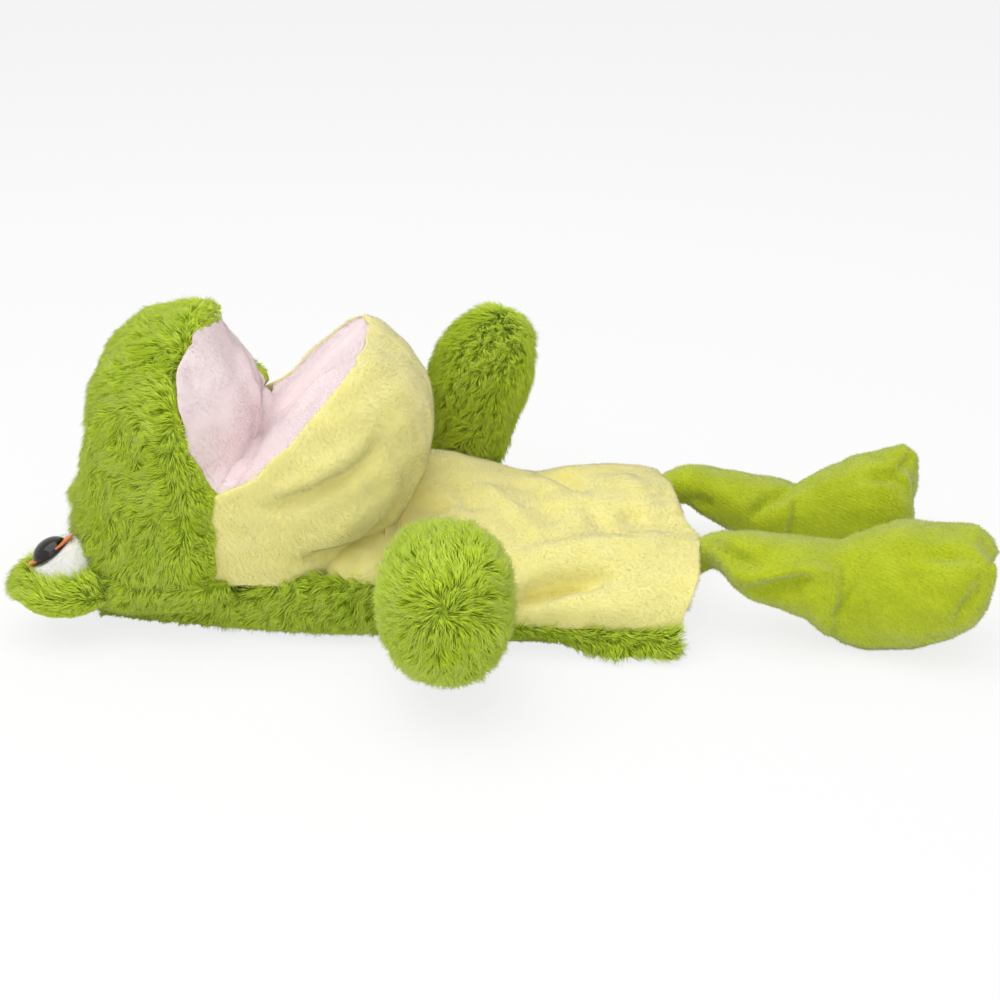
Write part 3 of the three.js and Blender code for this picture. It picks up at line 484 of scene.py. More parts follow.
def open_air(roots, ways, own_nodes, reach):
    """Which places look out into the open and not against a neighbouring piece."""
    corners, faces, start = [], [], 0
    for name, node in cad_nodes.items():
        if name in own_nodes:
            continue
        places, _ = points_of(node)
        corners.append(places)
        faces.append(triangles_of(node) + start)
        start += len(places)
    net = BVHTree.FromPolygons(np.concatenate(corners).tolist(), np.concatenate(faces).tolist())
    free = np.ones(len(roots), bool)
    for i, (root, way) in enumerate(zip(roots, ways)):
        away = Vector(way)
        free[i] = net.ray_cast(Vector(root) + away * SKIN_CLEAR, away, reach)[0] is None
    return free


print("strands look", SKIN_CLEAR, "m off their skin")


# %% Combing and strand meshes
TINT_RANGE = (0.02, 0.98)
CLUMP_PULL_RANGE = (0.6, 1.2)
CLUMP_MIDDLE_SHARE = 0.45
CLUMP_TINT = 0.22
MAP_ROOT = 0.03
MAP_SPAN = 0.9
MAP_TIP = 0.97
MAP_NUDGE = 0.003


def combed(ways, flow, swirl):
    """Comb direction in the skin, turned by an angle about the skin's normal."""
    along = flow - (flow * ways).sum(axis=1)[:, None] * ways
    along /= np.linalg.norm(along, axis=1)[:, None] + 1e-9
    side = np.cross(ways, along)
    return along * np.cos(swirl)[:, None] + side * np.sin(swirl)[:, None]


def gather_in_clumps(tips, middles, roots, tint, share, pull, seed):
    """Draw strands together at their tips, as pile does."""
    dice = np.random.default_rng(seed)
    leaders = dice.choice(len(roots), max(1, int(len(roots) * share)), replace=False)
    finder = KDTree(len(leaders))
    for i, leader in enumerate(leaders):
        finder.insert(roots[leader], i)
    finder.balance()
    mine = np.array([leaders[finder.find(root)[1]] for root in roots])
    amount = (pull * dice.uniform(*CLUMP_PULL_RANGE, len(roots)))[:, None]
    drawn_tips = tips + (tips[mine] - tips) * amount
    drawn_middles = middles + (middles[mine] - middles) * amount * CLUMP_MIDDLE_SHARE
    clump_tint = dice.uniform(-1, 1, len(roots))[mine]
    return drawn_tips, drawn_middles, np.clip(tint + CLUMP_TINT * clump_tint, *TINT_RANGE)


def strand_mesh(name, rings, tips, half_widths, tint):
    """Closed three-sided spikes through one or two rings and a tip, with the tint map."""
    count, stops = len(tips), len(rings)
    along = tips - rings[0]
    along /= np.linalg.norm(along, axis=1)[:, None] + 1e-12
    helper = np.where(np.abs(along[:, 2:3]) > 0.9, np.array([[1.0, 0, 0]]), np.array([[0, 0, 1.0]]))
    side = np.cross(along, helper)
    side /= np.linalg.norm(side, axis=1)[:, None]
    other = np.cross(along, side)
    each = 3 * stops + 1
    places = np.empty((count, each, 3))
    tints = np.empty((count, each, 2))
    for j, (ring, half) in enumerate(zip(rings, half_widths)):
        for k in range(3):
            turn = 2 * math.pi * k / 3
            spread = side * math.cos(turn) + other * math.sin(turn)
            places[:, 3 * j + k] = ring + spread * half[:, None]
            tints[:, 3 * j + k, 0] = tint + (k - 1) * MAP_NUDGE
            tints[:, 3 * j + k, 1] = MAP_ROOT + MAP_SPAN * j / stops
    places[:, -1] = tips
    tints[:, -1, 0] = tint
    tints[:, -1, 1] = MAP_TIP
    places[:, :, 2] = np.maximum(places[:, :, 2], TABLE_GAP)
    first = (np.arange(count) * each)[:, None]
    walls = []
    for j in range(stops - 1):
        for k in range(3):
            after = (k + 1) % 3
            walls.append([3 * j + k, 3 * j + after, 3 * j + 3 + after, 3 * j + 3 + k])
    last = 3 * (stops - 1)
    ends = [[last + k, last + (k + 1) % 3, 3 * stops] for k in range(3)] + [[2, 1, 0]]
    quads = np.concatenate([first + np.array([wall]) for wall in walls]) if walls else np.empty((0, 4), int)
    peaks = np.concatenate([first + np.array([end]) for end in ends])
    corner = np.concatenate([quads.ravel(), peaks.ravel()])
    starts = np.concatenate([np.arange(len(quads)) * 4, len(quads) * 4 + np.arange(len(peaks)) * 3])
    mesh = bpy.data.meshes.new(name)
    mesh.vertices.add(count * each)
    mesh.vertices.foreach_set("co", places.ravel())
    mesh.loops.add(len(corner))
    mesh.loops.foreach_set("vertex_index", corner)
    mesh.polygons.add(len(starts))
    mesh.polygons.foreach_set("loop_start", starts)
    mesh.update(calc_edges=True)
    tint_map = mesh.uv_layers.new(name="OFBake")
    tint_map.data.foreach_set("uv", tints.reshape(-1, 2)[corner].ravel())
    mesh.shade_smooth()
    obj = bpy.data.objects.new(name, mesh)
    bpy.context.scene.collection.objects.link(obj)
    return obj


print("a strand has three sides and one or two segments")

# %% Growing strands
MOST_STRANDS = 27000
ROOT_SINK = 0.35 * MM
SWIRL_SIZE = 24 * MM
CURL_SIZE = 7 * MM
PATCH_SIZE = 16 * MM
SHORTEST_SHARE = 0.05
TURN_SCATTER = 0.25
LENGTH_RANGE = (0.7, 1.2)
LEAN_SCATTER = (9, 12)
THICK_RANGE = (0.75, 1.25)
UPPER_THICK = 0.8


def grow(name, obj, own_nodes, per_mm2, length, width, flow, lean, seed, swirl=0.5, curl=0.0, clump=0.0,
         pull=0.5, fleck=0.1, mottle=0.3, reach=6 * MM, trim=None, single=False):
    """Strands over a skin, as a list of pieces. flow gives the comb direction, lean the angles of the
    lower and upper half, curl turns small tufts about, clump is the share of strands that draw their
    neighbours in, by pull, fleck makes single strands paler or darker, mottle whole patches, reach is the
    clear way that a strand needs to other solids, and trim shortens strands where it says."""
    dice = np.random.default_rng(seed)
    roots, ways = sprinkle(obj, per_mm2, seed)
    free = open_air(roots, ways, own_nodes, reach)
    cut = np.ones(len(roots)) if trim is None else trim(roots, ways)
    free &= cut > SHORTEST_SHARE
    roots, ways, cut = roots[free], ways[free], cut[free]
    count = len(roots)
    turn = waves(roots, SWIRL_SIZE, seed + 1) * swirl * 2 + waves(roots, CURL_SIZE, seed + 5) * curl * 2
    along = combed(ways, flow(roots), turn + dice.normal(0, TURN_SCATTER, count))
    reach_out = length * cut * dice.uniform(*LENGTH_RANGE, count)
    low = np.radians(lean[0] + dice.normal(0, LEAN_SCATTER[0], count))
    high = np.radians(lean[1] + dice.normal(0, LEAN_SCATTER[1], count))
    start = roots - ways * ROOT_SINK
    half = reach_out[:, None] / 2
    middles = start + half * (ways * np.cos(low)[:, None] + along * np.sin(low)[:, None])
    tips = middles + half * (ways * np.cos(high)[:, None] + along * np.sin(high)[:, None])
    patches = mottle * waves(roots, PATCH_SIZE, seed + 2)
    tint = np.clip(0.5 + patches + dice.normal(0, fleck, count), *TINT_RANGE)
    if clump:
        tips, middles, tint = gather_in_clumps(tips, middles, roots, tint, clump, pull, seed + 3)
    thick = width / 2 * dice.uniform(*THICK_RANGE, count)
    made = []
    for part in np.array_split(np.arange(count), max(1, math.ceil(count / MOST_STRANDS))):
        label = f"{name}_{len(made) + 1}" if count > MOST_STRANDS else name
        if single:
            made.append(strand_mesh(label, [start[part]], tips[part], [thick[part]], tint[part]))
        else:
            rings = [start[part], middles[part]]
            halves = [thick[part], thick[part] * UPPER_THICK]
            made.append(strand_mesh(label, rings, tips[part], halves, tint[part]))
    print(name, "strands:", count, "pieces:", len(made))
    return made


print("at most", MOST_STRANDS, "strands in a piece")

# %% [markdown]
# The materials share two node groups. The first gives a strand its colour from its tint map: it is darker
# near the backing, a painted shade where little light comes, and paler at its tip, a painted highlight.
# The finish itself, the Principled shader, stays in each material, with its constant values set on it.

# %% Node group for strands
def linear(red, green, blue):
    """Colour from red, green and blue of 0 to 255, as they look on a screen."""
    shares = [value / 255 for value in (red, green, blue)]
    return tuple(x / 12.92 if x <= 0.04045 else ((x + 0.055) / 1.055) ** 2.4 for x in shares) + (1.0,)


def add_socket(group, name, side, kind, value=None):
    """Named input or output of a node group."""
    made = group.interface.new_socket(name=name, in_out=side, socket_type=kind)
    if value is not None:
        made.default_value = value


def colour_mix(tree, share, first, second):
    """Mix two colours and give the output socket."""
    mix = tree.nodes.new("ShaderNodeMix")
    mix.data_type = "RGBA"
    tree.links.new(share, mix.inputs[0])
    tree.links.new(first, mix.inputs[6])
    tree.links.new(second, mix.inputs[7])
    return mix.outputs[2]


def stretch(tree, value, low, high):
    """Spread a value from low..high to 0..1."""
    spread = tree.nodes.new("ShaderNodeMapRange")
    spread.inputs["From Min"].default_value = low
    spread.inputs["From Max"].default_value = high
    tree.links.new(value, spread.inputs["Value"])
    return spread.outputs["Result"]


def calculate(tree, operation, first, second):
    """Sum or product of two sockets, or of a socket and a number."""
    node = tree.nodes.new("ShaderNodeMath")
    node.operation = operation
    for value, place in ((first, node.inputs[0]), (second, node.inputs[1])):
        if isinstance(value, float):
            place.default_value = value
        else:
            tree.links.new(value, place)
    return node.outputs[0]


strand_group = bpy.data.node_groups.new("Strand colour", "ShaderNodeTree")
for label in ("Root", "Body", "Tip"):
    add_socket(strand_group, label, "INPUT", "NodeSocketColor")
add_socket(strand_group, "Colour", "OUTPUT", "NodeSocketColor")
given = strand_group.nodes.new("NodeGroupInput")
result = strand_group.nodes.new("NodeGroupOutput")
tint_uv = strand_group.nodes.new("ShaderNodeUVMap")
tint_uv.uv_map = "OFBake"
parts = strand_group.nodes.new("ShaderNodeSeparateXYZ")
strand_group.links.new(tint_uv.outputs[0], parts.inputs[0])
tint, along = parts.outputs[0], parts.outputs[1]
# Painted shade darkens the root; a painted highlight makes the tip paler, by as much as the strand's tint.
root_shade_fade = stretch(strand_group, along, 0.05, 0.5)
lower = colour_mix(strand_group, root_shade_fade, given.outputs["Root"], given.outputs["Body"])
paler = calculate(strand_group, "MULTIPLY", stretch(strand_group, along, 0.35, 1.0), tint)
strand_group.links.new(colour_mix(strand_group, paler, lower, given.outputs["Tip"]), result.inputs["Colour"])
print("group:", strand_group.name)

# %% [markdown]
# The second group is the knitted ground under the pile. Two sizes of noise mottle its colour,
# and a wave gives it the fine rows that velvety plush shows, as a height for the Bump node.

# %% Node group for the ground
ground_group = bpy.data.node_groups.new("Pile ground", "ShaderNodeTree")
add_socket(ground_group, "Dark", "INPUT", "NodeSocketColor")
add_socket(ground_group, "Light", "INPUT", "NodeSocketColor")
add_socket(ground_group, "Patch scale", "INPUT", "NodeSocketFloat", 90.0)
add_socket(ground_group, "Grain scale", "INPUT", "NodeSocketFloat", 1100.0)
add_socket(ground_group, "Row scale", "INPUT", "NodeSocketFloat", 260.0)
add_socket(ground_group, "Colour", "OUTPUT", "NodeSocketColor")
add_socket(ground_group, "Height", "OUTPUT", "NodeSocketFloat")
given = ground_group.nodes.new("NodeGroupInput")
result = ground_group.nodes.new("NodeGroupOutput")
where = ground_group.nodes.new("ShaderNodeTexCoord")
patch = ground_group.nodes.new("ShaderNodeTexNoise")
patch.inputs["Detail"].default_value = 3
grain = ground_group.nodes.new("ShaderNodeTexNoise")
grain.inputs["Detail"].default_value = 2
rows = ground_group.nodes.new("ShaderNodeTexWave")
rows.bands_direction = "DIAGONAL"
rows.inputs["Distortion"].default_value = 3.0
rows.inputs["Detail"].default_value = 2
for noise, size in ((patch, "Patch scale"), (grain, "Grain scale"), (rows, "Row scale")):
    ground_group.links.new(where.outputs["Object"], noise.inputs["Vector"])
    ground_group.links.new(given.outputs[size], noise.inputs["Scale"])
mottle = calculate(ground_group, "ADD", patch.outputs["Fac"], grain.outputs["Fac"])
share = stretch(ground_group, mottle, 0.7, 1.3)
shade = colour_mix(ground_group, share, given.outputs["Dark"], given.outputs["Light"])
ground_group.links.new(shade, result.inputs["Colour"])
ribs = calculate(ground_group, "MULTIPLY", rows.outputs["Fac"], 0.35)
ground_group.links.new(calculate(ground_group, "ADD", ribs, grain.outputs["Fac"]), result.inputs["Height"])
print("group:", ground_group.name)

# %% [markdown]
# Cloth is rough and has a soft sheen from the side; the moulded plastic of the eyes is smooth and glossy.
# Each kind has its own function, which places one of the groups and sets the finish.

# %% Kinds of material
RELIEF = 0.5 * MM


def new_material(name):
    """Material with its node tree and its Principled shader."""
    material = bpy.data.materials.new(name)
    material.use_nodes = True
    return material, material.node_tree, material.node_tree.nodes["Principled BSDF"]


def place_group(tree, group, **values):
    """Put a node group into a material with its own values."""
    node = tree.nodes.new("ShaderNodeGroup")
    node.node_tree = group
    for label, value in values.items():
        node.inputs[label.replace("_", " ").capitalize()].default_value = value
    return node


def strand_material(name, root, body, tip, roughness=0.75, sheen=0.15):
    """Fur or pile, with painted shade at the dark root and a painted highlight at the pale tip."""
    material, tree, finish = new_material(name)
    tint = place_group(tree, strand_group, root=linear(*root), body=linear(*body), tip=linear(*tip))
    tree.links.new(tint.outputs["Colour"], finish.inputs["Base Color"])
    finish.inputs["Roughness"].default_value = roughness
    finish.inputs["Specular IOR Level"].default_value = 0.2
    finish.inputs["Sheen Weight"].default_value = sheen
    finish.inputs["Sheen Roughness"].default_value = 0.5
    return material


def ground_material(name, dark, light, bump=0.35, sheen=0.25, roughness=0.95, **scales):
    """Knitted or woven cloth, and loose fibre."""
    material, tree, finish = new_material(name)
    cloth = place_group(tree, ground_group, dark=linear(*dark), light=linear(*light), **scales)
    relief = tree.nodes.new("ShaderNodeBump")
    relief.inputs["Strength"].default_value = bump
    relief.inputs["Distance"].default_value = RELIEF
    tree.links.new(cloth.outputs["Colour"], finish.inputs["Base Color"])
    tree.links.new(cloth.outputs["Height"], relief.inputs["Height"])
    tree.links.new(relief.outputs["Normal"], finish.inputs["Normal"])
    finish.inputs["Roughness"].default_value = roughness
    finish.inputs["Specular IOR Level"].default_value = 0.15
    finish.inputs["Sheen Weight"].default_value = sheen
    finish.inputs["Sheen Roughness"].default_value = 0.45
    return material


def plastic_material(name, dark, light, roughness, gloss):
    """Moulded plastic with a faint cloudiness."""
    material, tree, finish = new_material(name)
    cloud = place_group(tree, ground_group, dark=linear(*dark), light=linear(*light), patch_scale=160.0)
    tree.links.new(cloud.outputs["Colour"], finish.inputs["Base Color"])
    finish.inputs["Roughness"].default_value = roughness
    finish.inputs["Specular IOR Level"].default_value = gloss
    return material


print("relief of cloth:", RELIEF, "m")

# %% Materials of fur, plush, filling and plastic
fur_ground = ground_material("fur_backing", (150, 172, 24), (178, 198, 44))
green_ground = ground_material("green_plush_ground", (174, 189, 20), (192, 206, 42), bump=0.6, sheen=0.6)
yellow_ground = ground_material("yellow_plush_ground", (246, 236, 144), (250, 242, 164), sheen=0.5,
                                row_scale=520.0)
pink_ground = ground_material("pink_plush_ground", (248, 228, 229), (252, 238, 239), row_scale=520.0)
white_ground = ground_material("white_plush_ground", (232, 230, 222), (246, 245, 240))
fibre = ground_material("fibre_filling", (226, 226, 222), (246, 246, 244), bump=0.9, grain_scale=700.0)
weave = ground_material("woven_lining", (222, 219, 208), (238, 236, 228), grain_scale=2200.0, row_scale=500.0)
# Each strand colour runs from a darker root, painted shade, through its own body colour to a pale tip, a
# painted highlight.
fur_strands = strand_material("fur_strands", (158, 185, 22), (213, 240, 46), (242, 253, 122))
green_pile = strand_material("green_pile", (166, 182, 14), (200, 215, 40), (236, 246, 134), sheen=0.3)
yellow_pile = strand_material("yellow_pile", (242, 227, 120), (251, 244, 174), (255, 254, 236))
pink_pile = strand_material("pink_pile", (245, 217, 219), (254, 239, 240), (255, 248, 249))
white_pile = strand_material("white_pile", (228, 226, 218), (248, 247, 242), (255, 255, 252))
black_plastic = plastic_material("black_dome_plastic", (16, 9, 8), (30, 18, 15), 0.06, 0.4)
orange_plastic = plastic_material("orange_iris_plastic", (196, 92, 14), (224, 124, 34), 0.2, 0.5)
nylon = plastic_material("nylon_washer", (226, 226, 224), (240, 240, 238), 0.45, 0.5)
print("materials:", len(bpy.data.materials))


# %% Dressing a piece
def wear(pieces, material, body, turns=None):
    """Give pieces a material and its slot, and join them to one body, or with turns fix their points in
    place.
    """
    for piece in pieces:
        piece.data.materials.clear()
        piece.data.materials.append(material)
        if turns is None:
            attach(piece, body)
        else:
            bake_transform(piece)


# %% [markdown]
# The hem at the tail isn't straight: the legs pull it out where they are sewn on, and both corners are
# drawn in. It could be sculpted point by point; here the picture gives how far, row by row,
# and back, belly and lining all follow the same rows, so they stay together.

# %% The pulled hem
HEM_SHIFT = [  # row of the picture, and pixels along the body
    (462, -17), (470, -16), (485, -5), (508, 0), (526, 5), (536, 14), (554, 9), (568, 6),
    (586, 3), (604, -4), (620, -14), (632, -20), (660, -20),
]
HEM_ZONE = (34 * MM, 78 * MM)


def pull_hem(obj):
    """Shift the cloth near the tail along the body, by the picture's row."""
    places, _ = points_of(obj)
    _, v, depth = seen_at(places)
    rows, shifts = np.array(HEM_SHIFT, float).T
    moved = places.copy()
    moved[:, 0] += step(places[:, 0], *HEM_ZONE) * np.interp(v, rows, shifts) * depth / FOCAL_PIXELS
    move_points(obj, moved)


print("hem rows:", len(HEM_SHIFT))

# %% [markdown]
# The back panel, the nape and the crown are the same soft fur: a curly pile about 7 mm long.
# It runs from the nose over the crown and on to the tail, so the comb direction changes from
# piece to piece, and small tufts turn about. Close to the table and at the lips the fur is cut short.
# It is thickest on the crown and the arms, which are seen, and thinner on the sheets that lie on the table.

# %% Fur
FUR_LENGTH = 7.5 * MM
FUR_WIDTH = 0.33 * MM
FUR_DENSITY = 3.0
BACK_DENSITY = 2.4
NAPE_DENSITY = 2.2
SHORTEST_BELOW = 0.45


def steady(*way):
    """The same comb direction everywhere."""
    return lambda places: np.tile(np.array(way, float), (len(places), 1))


def pressed_below(roots, ways):
    """Fur that lies on the table is short."""
    return SHORTEST_BELOW + (1 - SHORTEST_BELOW) * step(ways[:, 2], -0.8, -0.2)


print("fur per square millimetre:", FUR_DENSITY)

# %% [markdown]
# The back panel is the sheet that the toy lies on. Its side edges wave in and out where the sewn seam
# puckers, and its upper edge has fur that stands up over the belly's seam.

# %% Back panel
BACK_EDGE_WAVE = [  # place along the body, and how far the edge is drawn in, in mm
    (-50, 5), (0, 8), (14, 9), (26, 7), (36, -1), (46, -6), (56, -2), (66, -6), (80, -3),
]
BACK_EDGE_ZONE = (40 * MM, 68 * MM)
BACK_SEAM_ZONE = (6 * MM, 11 * MM)
back_skin = skin("back_skin", ["back_panel"], voxel=1.6 * MM, rounds=4)
pull_hem(back_skin)
places, _ = points_of(back_skin)
along, pull_in = np.array(BACK_EDGE_WAVE, float).T * MM
at_edge = step(np.abs(places[:, 1]), *BACK_EDGE_ZONE) * (1 - places[:, 2] / places[:, 2].max())
places[:, 1] -= np.sign(places[:, 1]) * at_edge * np.interp(places[:, 0], along, pull_in)
move_points(back_skin, places)


def back_flow(places):
    """Down to the table, but up over the belly's seam along the upper edge."""
    way = np.tile(np.array([0.6, 0, -0.7]), (len(places), 1))
    way[:, 2] += 0.9 * step(places[:, 2], *BACK_SEAM_ZONE)
    return way


back_fur = grow("back_fur", back_skin, ["back_panel"], BACK_DENSITY, FUR_LENGTH, FUR_WIDTH, back_flow,
                lean=(44, 72), seed=21, curl=0.35, clump=0.1, reach=40 * MM, trim=pressed_below)
wear([back_skin], fur_ground, "torso")
wear(back_fur, fur_strands, "torso")

# %% [markdown]
# The nape joins crown and back, between head and body, where the neck nods. Its points are fixed in place
# and don't follow either body.

# %% Nape
NAPE_TURNS = ((-66 * MM, 0, 0), (-48 * MM, 0, 0))
nape_skin = skin("nape_skin", ["nape_panel"], voxel=1.6 * MM, rounds=4)
nape_fur = grow("nape_fur", nape_skin, ["nape_panel"], NAPE_DENSITY, FUR_LENGTH, FUR_WIDTH,
                steady(-0.6, 0, -0.7), lean=(42, 70), seed=31, curl=0.5, clump=0.1, reach=70 * MM,
                trim=pressed_below)
wear([nape_skin], fur_ground, ("head", "torso"), NAPE_TURNS)
wear(nape_fur, fur_strands, ("head", "torso"), NAPE_TURNS)

# %% [markdown]
# The crown is the upper jaw: a fur cap over fibre filling, open at the mouth. The forehead is stuffed
# hardest, the lip's edge is drawn in by its seam, and the middle of the lip turns up.
# A subdivision cage could give these forms; moving the points by smooth steps keeps the net even.

# %% Crown
HEAD_MIDDLE = np.array([-115, 0, 70]) * MM
CROWN_INSET = 2.4 * MM
INSET_ZONE = (32 * MM, 55 * MM)
FOREHEAD_WAY = np.array([-0.75, 0, 0.66])
FOREHEAD_SPREAD = (0.72, 1.0)
FOREHEAD_SWELL = 5.5 * MM
LIP_ZONE = (-128 * MM, -104 * MM)
LIP_PULL = 5.5 * MM
FAR_LIP_PUSH = 6 * MM
FAR_LIP_SIDE = (30 * MM, 48 * MM)
FAR_LIP_HEIGHT = 80 * MM
FAR_LIP_SPREAD = (6 * MM, 16 * MM)
TIP_HEIGHT = (92 * MM, 110 * MM)
TIP_SIDE = 6 * MM
TIP_SPREAD = (6 * MM, 22 * MM)
TIP_LIFT = 8 * MM
LIFT_ZONE = (-136 * MM, -116 * MM)
LIFT_HEIGHT = (84 * MM, 108 * MM)
LIFT_SPREAD = (8 * MM, 36 * MM)
crown_skin = skin("crown_skin", ["head_cover"], voxel=1.8 * MM, rounds=5)
places, _ = points_of(crown_skin)
outward = places - HEAD_MIDDLE
outward /= np.linalg.norm(outward, axis=1)[:, None]
places -= outward * (CROWN_INSET * step(places[:, 2], *INSET_ZONE))[:, None]
forehead = step(outward @ FOREHEAD_WAY, *FOREHEAD_SPREAD)
places += outward * (FOREHEAD_SWELL * forehead)[:, None]
tip = step(places[:, 2], *TIP_HEIGHT) * (1 - step(np.abs(places[:, 1] - TIP_SIDE), *TIP_SPREAD))
far_level = 1 - step(np.abs(places[:, 2] - FAR_LIP_HEIGHT), *FAR_LIP_SPREAD)
far_lip = step(places[:, 1], *FAR_LIP_SIDE) * far_level
at_lip = step(places[:, 0], *LIP_ZONE)
places[:, 0] -= LIP_PULL * at_lip * (1 - tip) * (1 - far_lip)
places[:, 0] += FAR_LIP_PUSH * at_lip * far_lip
turned_up = step(places[:, 0], *LIFT_ZONE) * step(places[:, 2], *LIFT_HEIGHT)
places[:, 2] += TIP_LIFT * turned_up * (1 - step(np.abs(places[:, 1]), *LIFT_SPREAD))
move_points(crown_skin, places)
ripple(crown_skin, size=45 * MM, depth=1.4 * MM, seed=5)

# %% [markdown]
# The fur of the crown is combed back from the lip. Along the seam with the mouth it is clipped, and none
# grows on the inside of the lip, because there the pink lining lies against it.

# %% Crown fur
COMB_LOW = 30 * MM
COMB_RISE = 80 * MM
FRINGE_ZONE = (-132 * MM, -116 * MM)
FRINGE_HEIGHT = (84 * MM, 98 * MM)
INSIDE_ZONE = (-136 * MM, -124 * MM)
SHORT_ZONE = (-128 * MM, -112 * MM)
TOP_LIP_ZONE = (-128 * MM, -116 * MM)
TOP_LIP_HEIGHT = (84 * MM, 96 * MM)
EYE_ZONE = (150 * MM, 164 * MM)
EYE_HEIGHT = (48 * MM, 66 * MM)


def crown_flow(places):
    """From the lip back over the crown and down to the nape; at the lip the fringe points forward."""
    height = np.clip((places[:, 2] - COMB_LOW) / COMB_RISE, 0, 1)
    way = np.zeros_like(places)
    way[:, 0] = -0.45 - 0.4 * height
    way[:, 2] = -0.9 + 0.7 * height
    fringe = step(places[:, 0], *FRINGE_ZONE)[:, None]
    forward = np.tile(np.array([0.8, 0, -0.5]), (len(places), 1))
    forward[:, 2] += 0.9 * step(places[:, 2], *FRINGE_HEIGHT)
    return way * (1 - fringe) + forward * fringe


def short_at_lips(roots, ways):
    """The fur is clipped along the seam with the mouth, and there is none on the inside."""
    across = roots[:, 1:] - HEAD_MIDDLE[1:]
    across /= np.linalg.norm(across, axis=1)[:, None]
    faces_out = step((across * ways[:, 1:]).sum(axis=1), -0.35, 0.05)
    near_lip = step(roots[:, 0], *INSIDE_ZONE)
    clipped = 1 - 0.8 * step(ways[:, 0], 0.25, 0.7)
    shorter = 1 - 0.5 * step(roots[:, 0], *SHORT_ZONE)
    shorter -= 0.2 * step(roots[:, 0], *TOP_LIP_ZONE) * step(roots[:, 2], *TOP_LIP_HEIGHT)
    by_eyes = step(-roots[:, 0], *EYE_ZONE) * (1 - step(roots[:, 2], *EYE_HEIGHT))
    return clipped * shorter * (1 - near_lip * (1 - faces_out)) * (1 + 0.5 * by_eyes)


crown_fur = grow("crown_fur", crown_skin, ["head_cover"], FUR_DENSITY, FUR_LENGTH, FUR_WIDTH, crown_flow,
                 lean=(44, 70), seed=41, curl=0.6, clump=0.05, pull=0.45, trim=short_at_lips)
wear([crown_skin], fur_ground, "head")
wear(crown_fur, fur_strands, "head")

# %% [markdown]
# The chin is yellow plush over a soft filling. It sags in one long fold below the lip and one overhang
# above the throat. All the plush of the toy has the same pile, too short to show as single strands:
# a fine fuzz in small clumps on a knitted ground. One function grows it, so that it is alike everywhere.

# %% Chin
PILE_LENGTH = 1.8 * MM
PILE_WIDTH = 0.2 * MM
PILE_DENSITY = 2.4
PILE_LEAN = (52, 52)
CHIN_TURNS = ((0, 0, 31 * MM), (0, 0, 62 * MM))
CHIN_REACH_BACK = 12 * MM
CHIN_BACK_ZONE = (84 * MM, 103 * MM)
CHIN_BACK_HEIGHT = (60 * MM, 76 * MM)
CHIN_DROP = 5 * MM
CHIN_DROP_HEIGHT = (30 * MM, 46 * MM)
CHIN_FOLDS = [  # half width and depth in mm, and the line in the picture
    (4.0, 5.0, [(265, 510), (308, 496), (338, 482), (364, 462), (384, 436)]),
    (6.5, -3.4, [(268, 494), (310, 478), (340, 462), (366, 440)]),
    (4.0, 5.0, [(300, 562), (336, 556), (358, 549), (388, 520)]),
    (7.0, -3.4, [(300, 538), (340, 528), (378, 500), (400, 470)]),
]


def grow_pile(name, obj, own_nodes, flow, seed, swirl=0.7, trim=None):
    """The short pile of plush."""
    return grow(name, obj, own_nodes, PILE_DENSITY, PILE_LENGTH, PILE_WIDTH, flow, PILE_LEAN, seed,
                swirl=swirl, clump=0.35, pull=0.4, fleck=0.25, mottle=0.1, trim=trim, single=True)


chin_skin = skin("chin_skin", ["chin_cover"], voxel=1.4 * MM, rounds=6)
places, _ = points_of(chin_skin)
low = 1 - step(places[:, 2], *CHIN_BACK_HEIGHT)
places[:, 0] -= CHIN_REACH_BACK * step(-places[:, 0], *CHIN_BACK_ZONE) * low
places[:, 2] -= CHIN_DROP * (1 - step(places[:, 2], *CHIN_DROP_HEIGHT))
move_points(chin_skin, places)
press_all(chin_skin, CHIN_FOLDS)
ripple(chin_skin, size=40 * MM, depth=1.0 * MM, seed=8)
chin_pile = grow_pile("chin_pile", chin_skin, ["chin_cover", "head_cover"], steady(0.5, 0, -1), seed=61)
wear([chin_skin], yellow_ground, ("head", "jaw"), CHIN_TURNS)
wear(chin_pile, yellow_pile, ("head", "jaw"), CHIN_TURNS)

# %% [markdown]
# The mouth is lined with pink plush: a padded roof that bulges, and a floor with a crease down its middle.
# Both are sewn to a rim, so the border of each pad is drawn to the nearest point of that rim.
# A shrinkwrap modifier would pull the whole pad; here only the border goes, and the middle keeps its bulge.

# %% Sewing a pad to a rim
RIM_REACH = 80 * MM
RIM_FACING = 0.7
BORDER_ZONE = (0.55, 0.95)
SEAM_REACH = 13 * MM


def sew_to_rim(obj, rim_obj, front, lift, where=None):
    """Draw a pad's border to the rim of another skin, the part that faces the same way as the pad.
    where says how much of this each place takes."""
    places, _ = points_of(obj)
    rim, facing = points_of(rim_obj)
    front = np.array(front) / np.linalg.norm(front)
    middle = (places.min(axis=0) + places.max(axis=0)) / 2
    near = np.linalg.norm(rim - middle, axis=1) < RIM_REACH
    rim = rim[(facing @ front > RIM_FACING) & near]
    finder = KDTree(len(rim))
    for i, spot in enumerate(rim):
        finder.insert(spot, i)
    finder.balance()
    apart = places - middle
    ways = np.linalg.svd(apart - apart.mean(axis=0), full_matrices=False)[2]
    spans = [np.abs(apart @ way).max() for way in ways[:2]]
    share = np.sqrt(((apart @ ways[0]) / spans[0]) ** 2 + ((apart @ ways[1]) / spans[1]) ** 2)
    border = step(share, *BORDER_ZONE)
    seams = np.array([finder.find(place)[0] for place in places]) + front * lift
    towards = seams - places
    reach = np.linalg.norm(towards, axis=1)
    border = border * (1 - step(reach, SEAM_REACH, 2 * SEAM_REACH))
    if where is not None:
        border = border * where(places)
    move_points(obj, places + towards * border[:, None])


print("a seam reaches", SEAM_REACH, "m")

